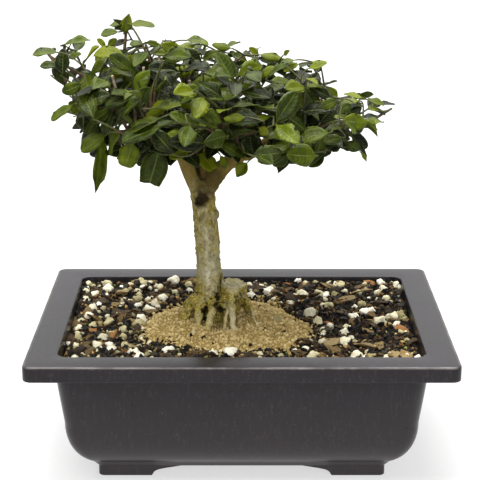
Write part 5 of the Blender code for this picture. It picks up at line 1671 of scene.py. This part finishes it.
def growSide(crowd, blocks, shoot, seed, dice):
    # an end leaf and two pairs, fewer where there is no room
    tip = shoot[2]
    front, back = extra["sideLeaves"]
    size = (front if tip.y < 0 and tip.x < extra["frontUpTo"] * mm else back) * mm * dice.uniform(0.85, 1.05)
    lit = tip.z + 0.3 * tip.y > extra["youngAbove"] * mm
    young = 0.8 if dice.random() < extra["youngShare"] and lit else 0.0
    axis = (onShoot(shoot, 1.0) - onShoot(shoot, 0.95)).normalized()
    growLeaf(crowd, blocks, tip, axis, axis, size * 0.85, random.Random(seed), young)
    for pair, t in enumerate(extra["sideNodes"]):
        axis, across, out = frameOn(shoot, t, 0.02, outward(onShoot(shoot, t)))
        for number, sign in enumerate((1, -1)):
            facing = sign * (out if pair else across)
            chance = random.Random(seed + 1 + 2 * pair + number)
            growLeaf(crowd, blocks, onShoot(shoot, t) + facing * 0.0005, axis, facing,
                     size * (1 - 0.1 * pair), chance, young * (0.8 if pair else 1))


def growExtra(crowd, blocks, shoots):
    # more leaves than the CAD holds: pairs along the older shoots, and side shoots where the crown is thin
    growOlder(crowd, blocks, shoots)
    print("with leaves on older shoots:", len(crowd["leaves"]))
    anchors = findAnchors(shoots)
    centres = [middle for middle, _ in crowd["shapes"]]
    added, tried, dice = [], [], random.Random(extra["seed"])
    for _ in range(extra["shoots"]):
        tip = pickTip(crowd, centres, tried, dice)
        if tip is None:
            continue
        tried.append(tip)
        shoot, sleeve = reachTip(tip, anchors, crowd["shapes"])
        before = len(crowd["leaves"])
        if shoot:
            growSide(crowd, blocks, shoot, 20000 + 100 * len(tried), dice)
        if len(crowd["leaves"]) > before:
            added.append(shoot)
            blocks.append(sleeve)
    print("with side shoots:", len(crowd["leaves"]), "leaves,", len(added), "side shoots")
    return added


def placedLeaves():
    # the leaves that the photo shows one by one; only they have a kind
    placed = []
    for kind, stalk, tip, width, facing, young, tint in [*leafForm["placed"], *photoLeaves()]:
        base = Vector(stalk) * mm
        direction = Vector(tip) * mm - base
        normal = Vector(facing)
        normal = (normal - direction.normalized() * normal.dot(direction.normalized())).normalized()
        chance = random.Random(len(placed))
        pose = (leafMatrix(base, direction, normal), direction.length, width * mm, chance.uniform(0.17, 0.37),
                chance.uniform(0.07, 0.13))
        placed.append({"pose": pose, "young": young, "tint": tint, "kind": kind})
    return placed


def growCrown(shoots):
    # the CAD's leaves make way for the placed ones, and more are grown; shapes has the placed ones first
    found = cadLeaves(shoots)
    print("leaves found again:", len(found), "of the CAD's")
    placed = placedLeaves()
    shapes = [leafMesh(leaf["pose"]) for leaf in placed]
    free = [middle for middle, _ in shapes]
    ends = [placesOf(points)[-1] for points in bareTwigs["cut"]]
    twigs = [lineMesh(placesOf(points), 0.6 * mm) for group in bareTwigs.values() for points in group]
    limbs = [lineMesh(placesOf(points[:3]), 3.2 * mm) for points in wood["shifted"].values()]
    left, right, low = extra["fork"]
    kept = []
    for leaf in found:
        middle, _ = shape = leafMesh(leaf["pose"])
        x, z = seenAt(leafTip(leaf["pose"], 0))
        if (isClear(shape, shapes[:len(placed)], extra["leafReach"]) and insideOutline(middle)
                and isClear(shape, limbs + twigs, extra["twigReach"]) and not hides(middle, free[:3] + ends)
                and not (left < x < right and z < low)):
            kept.append(leaf)
            shapes.append(shape)
    print("kept clear of the placed leaves:", len(kept))

    blocks = [lineMesh([onShoot(shoot, i / 10) for i in range(1, 11)], extra["sleeve"] * mm)
              for shoot in shoots]
    for points in wood["limbs"] + (wood["trunk"],):
        limb = inMetres(points)
        blocks.append(lineMesh([along(limb, i / 8)[0] for i in range(9)], min(p[3] for p in limb) * 1.2))
    crowd = {"leaves": kept + placed, "shapes": shapes, "free": free + ends,
             "region": treeOf([middle for middle, _ in shapes])}
    sideShoots = growExtra(crowd, blocks + twigs, shoots)
    return crowd["leaves"], shapes, sideShoots


def shadeLeaves(leaves, shapes):
    # painted shade: a leaf deep in the crown, with others above it towards the light, gets a darker tint
    s = leafShade
    centres = treeOf([middle for middle, _ in shapes])
    for leaf in leaves:
        if "kind" not in leaf:
            middle, _ = leafMesh(leaf["pose"])
            above = [place for place, _, away in centres.find_range(middle, s["reach"] * mm) if away > mm
                     and (place - middle).normalized().dot(Vector(s["light"])) > s["within"]]
            bright = s["scale"] * leaf["tint"] ** s["power"] + s["least"]
            leaf["tint"] = max(0.0, bright - s["each"] * len(above))


def lastLeaf(shoot, held):
    # how far along a shoot its last leaf or stalk stands
    near = extra["held"] * mm
    return max([i / 40 for i in range(10, 41) if held.find(onShoot(shoot, i / 40))[2] < near], default=0)


def hangStalks(leaves, shapes, shoots):
    # each placed leaf hangs on a thin stalk from the nearest shoot that it can reach
    held = treeOf([leaf["pose"][0].translation for leaf in leaves if "kind" not in leaf])
    starts = [onShoot(shoot, i / 16) for shoot in shoots for i in range(5, 17)
              if i / 16 <= max(0.4, lastLeaf(shoot, held)) + 0.05]
    for points in bareTwigs["brown"]:
        starts += placesOf(points[1:])
    stalks = []
    for number, leaf in enumerate(leaf for leaf in leaves if "kind" in leaf):
        base = leaf["pose"][0].translation
        lead = leaf["pose"][0].to_3x3().col[0]
        others = shapes[:number] + shapes[number + 1:]

        def effort(place):
            return (place - base).length * (1.5 - 0.5 * lead.dot((base - place).normalized()))
        lines = []
        for start in sorted(starts, key=effort)[:10]:
            stalk = (start, base - lead * 0.35 * (base - start).length, base)
            lines.append([onShoot(stalk, i / 6) for i in range(7)])
        clear = [line for line in lines
                 if isClear(lineMesh(line[1:6], 0.3 * mm), others, extra["stalkReach"])]
        stalks.append((clear or lines)[0])
    return stalks


def kindOf(leaf):
    # the number of the leaf shape that suits a leaf
    kinds, odd = leafForm["kinds"], list(leafForm["odd"])
    if leaf.get("kind") in odd:
        return len(kinds) + odd.index(leaf["kind"])
    fold, arch = leaf["pose"][3:]
    return min(range(len(kinds)), key=lambda i: abs(kinds[i][0] - fold) + 1.5 * abs(kinds[i][1] - arch))


def drawLeaves(leaves, count):
    # the old leaves and the young ones; every third spray of the CAD's stands for the young
    shapes = [makeLeafShape(f"leaf_{i:02d}", *form[:5], halves=leafForm[form[5]])
              for i, form in enumerate(leafForm["kinds"])]
    shapes += [makeLeafShape(f"leaf_{i:02d}", **form) for i, form in enumerate(leafForm["odd"].values(), 20)]
    shelf = makeShelf("leaf kinds", shapes)
    tree = makeTree("leaves on their stalks", {
        "Geometry": "Geometry", "Shapes": "Collection", "Material": "Material", "Size": "Float"}, buildLeaves)
    for name, slot, look, young in (("leaves_old", "old_leaf", "old privet leaf", False),
                                    ("leaves_young", "new_leaf", "young privet leaf", True)):
        group = [leaf for leaf in leaves if (leaf["young"] >= 0.5) == young]
        bm = bmesh.new()
        sizes = []
        for leaf in group:
            matrix, length, width, _, _ = leaf["pose"]
            bm.verts.new(matrix.translation)
            slim = 1.0 if "kind" in leaf else 0.9
            sizes += (length * (0.5 + 0.5 * slim), width * slim, length)
        base = addPiece(name + "_points", bm)
        turns = [turn for leaf in group for turn in leaf["pose"][0].to_euler()]
        addValues(base, "turn", turns, "FLOAT_VECTOR")
        addValues(base, "size", sizes, "FLOAT_VECTOR")
        addValues(base, "kind", [kindOf(leaf) for leaf in group], "INT")
        # the tint holds each leaf's tone, darkened by painted shade deep in the crown
        addValues(base, "tint", [leaf["tint"] for leaf in group])
        material = leafMaterial(look, *leafLooks[look])
        piece = runTree(name, base, tree, {"Shapes": shelf, "Material": material, "Size": 1.0})
        removeObjects([base])
        finishPiece(piece, slot, *(f"spray_{i:02d}" for i in range(1, count + 1) if (i % 3 == 0) == young))
    clearShelf(shelf)


# twigs and stems

stemLooks = {
    # colours and roughness
    "brown twig bark": (((0.3, "#3a2a1a"), (0.5, "#5c4630"), (0.7, "#7c654a")), 0.8),
    "weathered cut twig": (((0.3, "#7d6a50"), (0.5, "#a5937a"), (0.7, "#c6b9a2")), 0.85),
    "green stem": (((0.3, "#2f3312"), (0.5, "#474a1f"), (0.75, "#625d30")), 0.6),
}


def stemLine(shoot, start, end, steps, thick, taper):
    # places between two shares of a shoot, each with its radius
    return [(onShoot(shoot, start + (end - start) * i / steps), (thick - taper * i / steps) * mm)
            for i in range(steps + 1)]


def addLines(lines):
    # chains of edges with a radius at each point
    bm = bmesh.new()
    layer = bm.verts.layers.float.new("radius")
    for points in lines:
        verts = []
        for place, radius in points:
            verts.append(bm.verts.new(place))
            verts[-1][layer] = radius
        for pair in zip(verts, verts[1:]):
            bm.edges.new(pair)
    return addPiece("lines", bm)


def drawStems(leaves, stalks, shoots, sideShoots):
    # a shoot is drawn up to its last leaf, woody and then green
    held = treeOf([leaf["pose"][0].translation for leaf in leaves] + [line[0] for line in stalks])
    woody = []
    green = [[(place, (0.5 - 0.12 * i / 6) * mm) for i, place in enumerate(line)] for line in stalks]
    for shoot, spray in zip(shoots, crown["sprays"]):
        end = lastLeaf(shoot, held)
        split = min(end, greenFrom(shoot, spray[2]))
        woody.append(stemLine(shoot, 0, split, 9, 1.15, 0.35))
        if end > split:
            green.append(stemLine(shoot, split, end, 8, 0.8, 0.4))
    for shoot in sideShoots:
        end = lastLeaf(shoot, held)
        woody.append(stemLine(shoot, 0, 0.55 * end, 6, 0.85, 0.25))
        green.append(stemLine(shoot, 0.55 * end, end, 6, 0.6, 0.25))
    bare = {kind: [[(Vector(p[:3]) * mm, p[3] * mm) for p in points] for points in group]
            for kind, group in bareTwigs.items()}
    tree = makeTree("stems along lines", {
        "Geometry": "Geometry", "Material": "Material", "Sides": "Int", "Thickness": "Float"}, buildStems)
    for name, slot, look, lines in (("woody_twigs", "bark", "brown twig bark", woody + bare["brown"]),
                                    ("cut_twigs", "bark", "weathered cut twig", bare["cut"]),
                                    ("green_stems", "old_leaf", "green stem", green)):
        base = addLines(lines)
        material = stemMaterial(look, *stemLooks[look])
        piece = runTree(name, base, tree, {"Material": material, "Sides": 7, "Thickness": 1.0})
        removeObjects([base])
        piece.data.shade_smooth()
        finishPiece(piece, slot)


# main

makeStudio()
makePot()
dressNetting()
makeSoil()
makeWood()
shoots = planShoots()
leaves, shapes, sideShoots = growCrown(shoots)
shadeLeaves(leaves, shapes)
stalks = hangStalks(leaves, shapes, shoots + sideShoots)
drawLeaves(leaves, len(shoots))
drawStems(leaves, stalks, shoots, sideShoots)
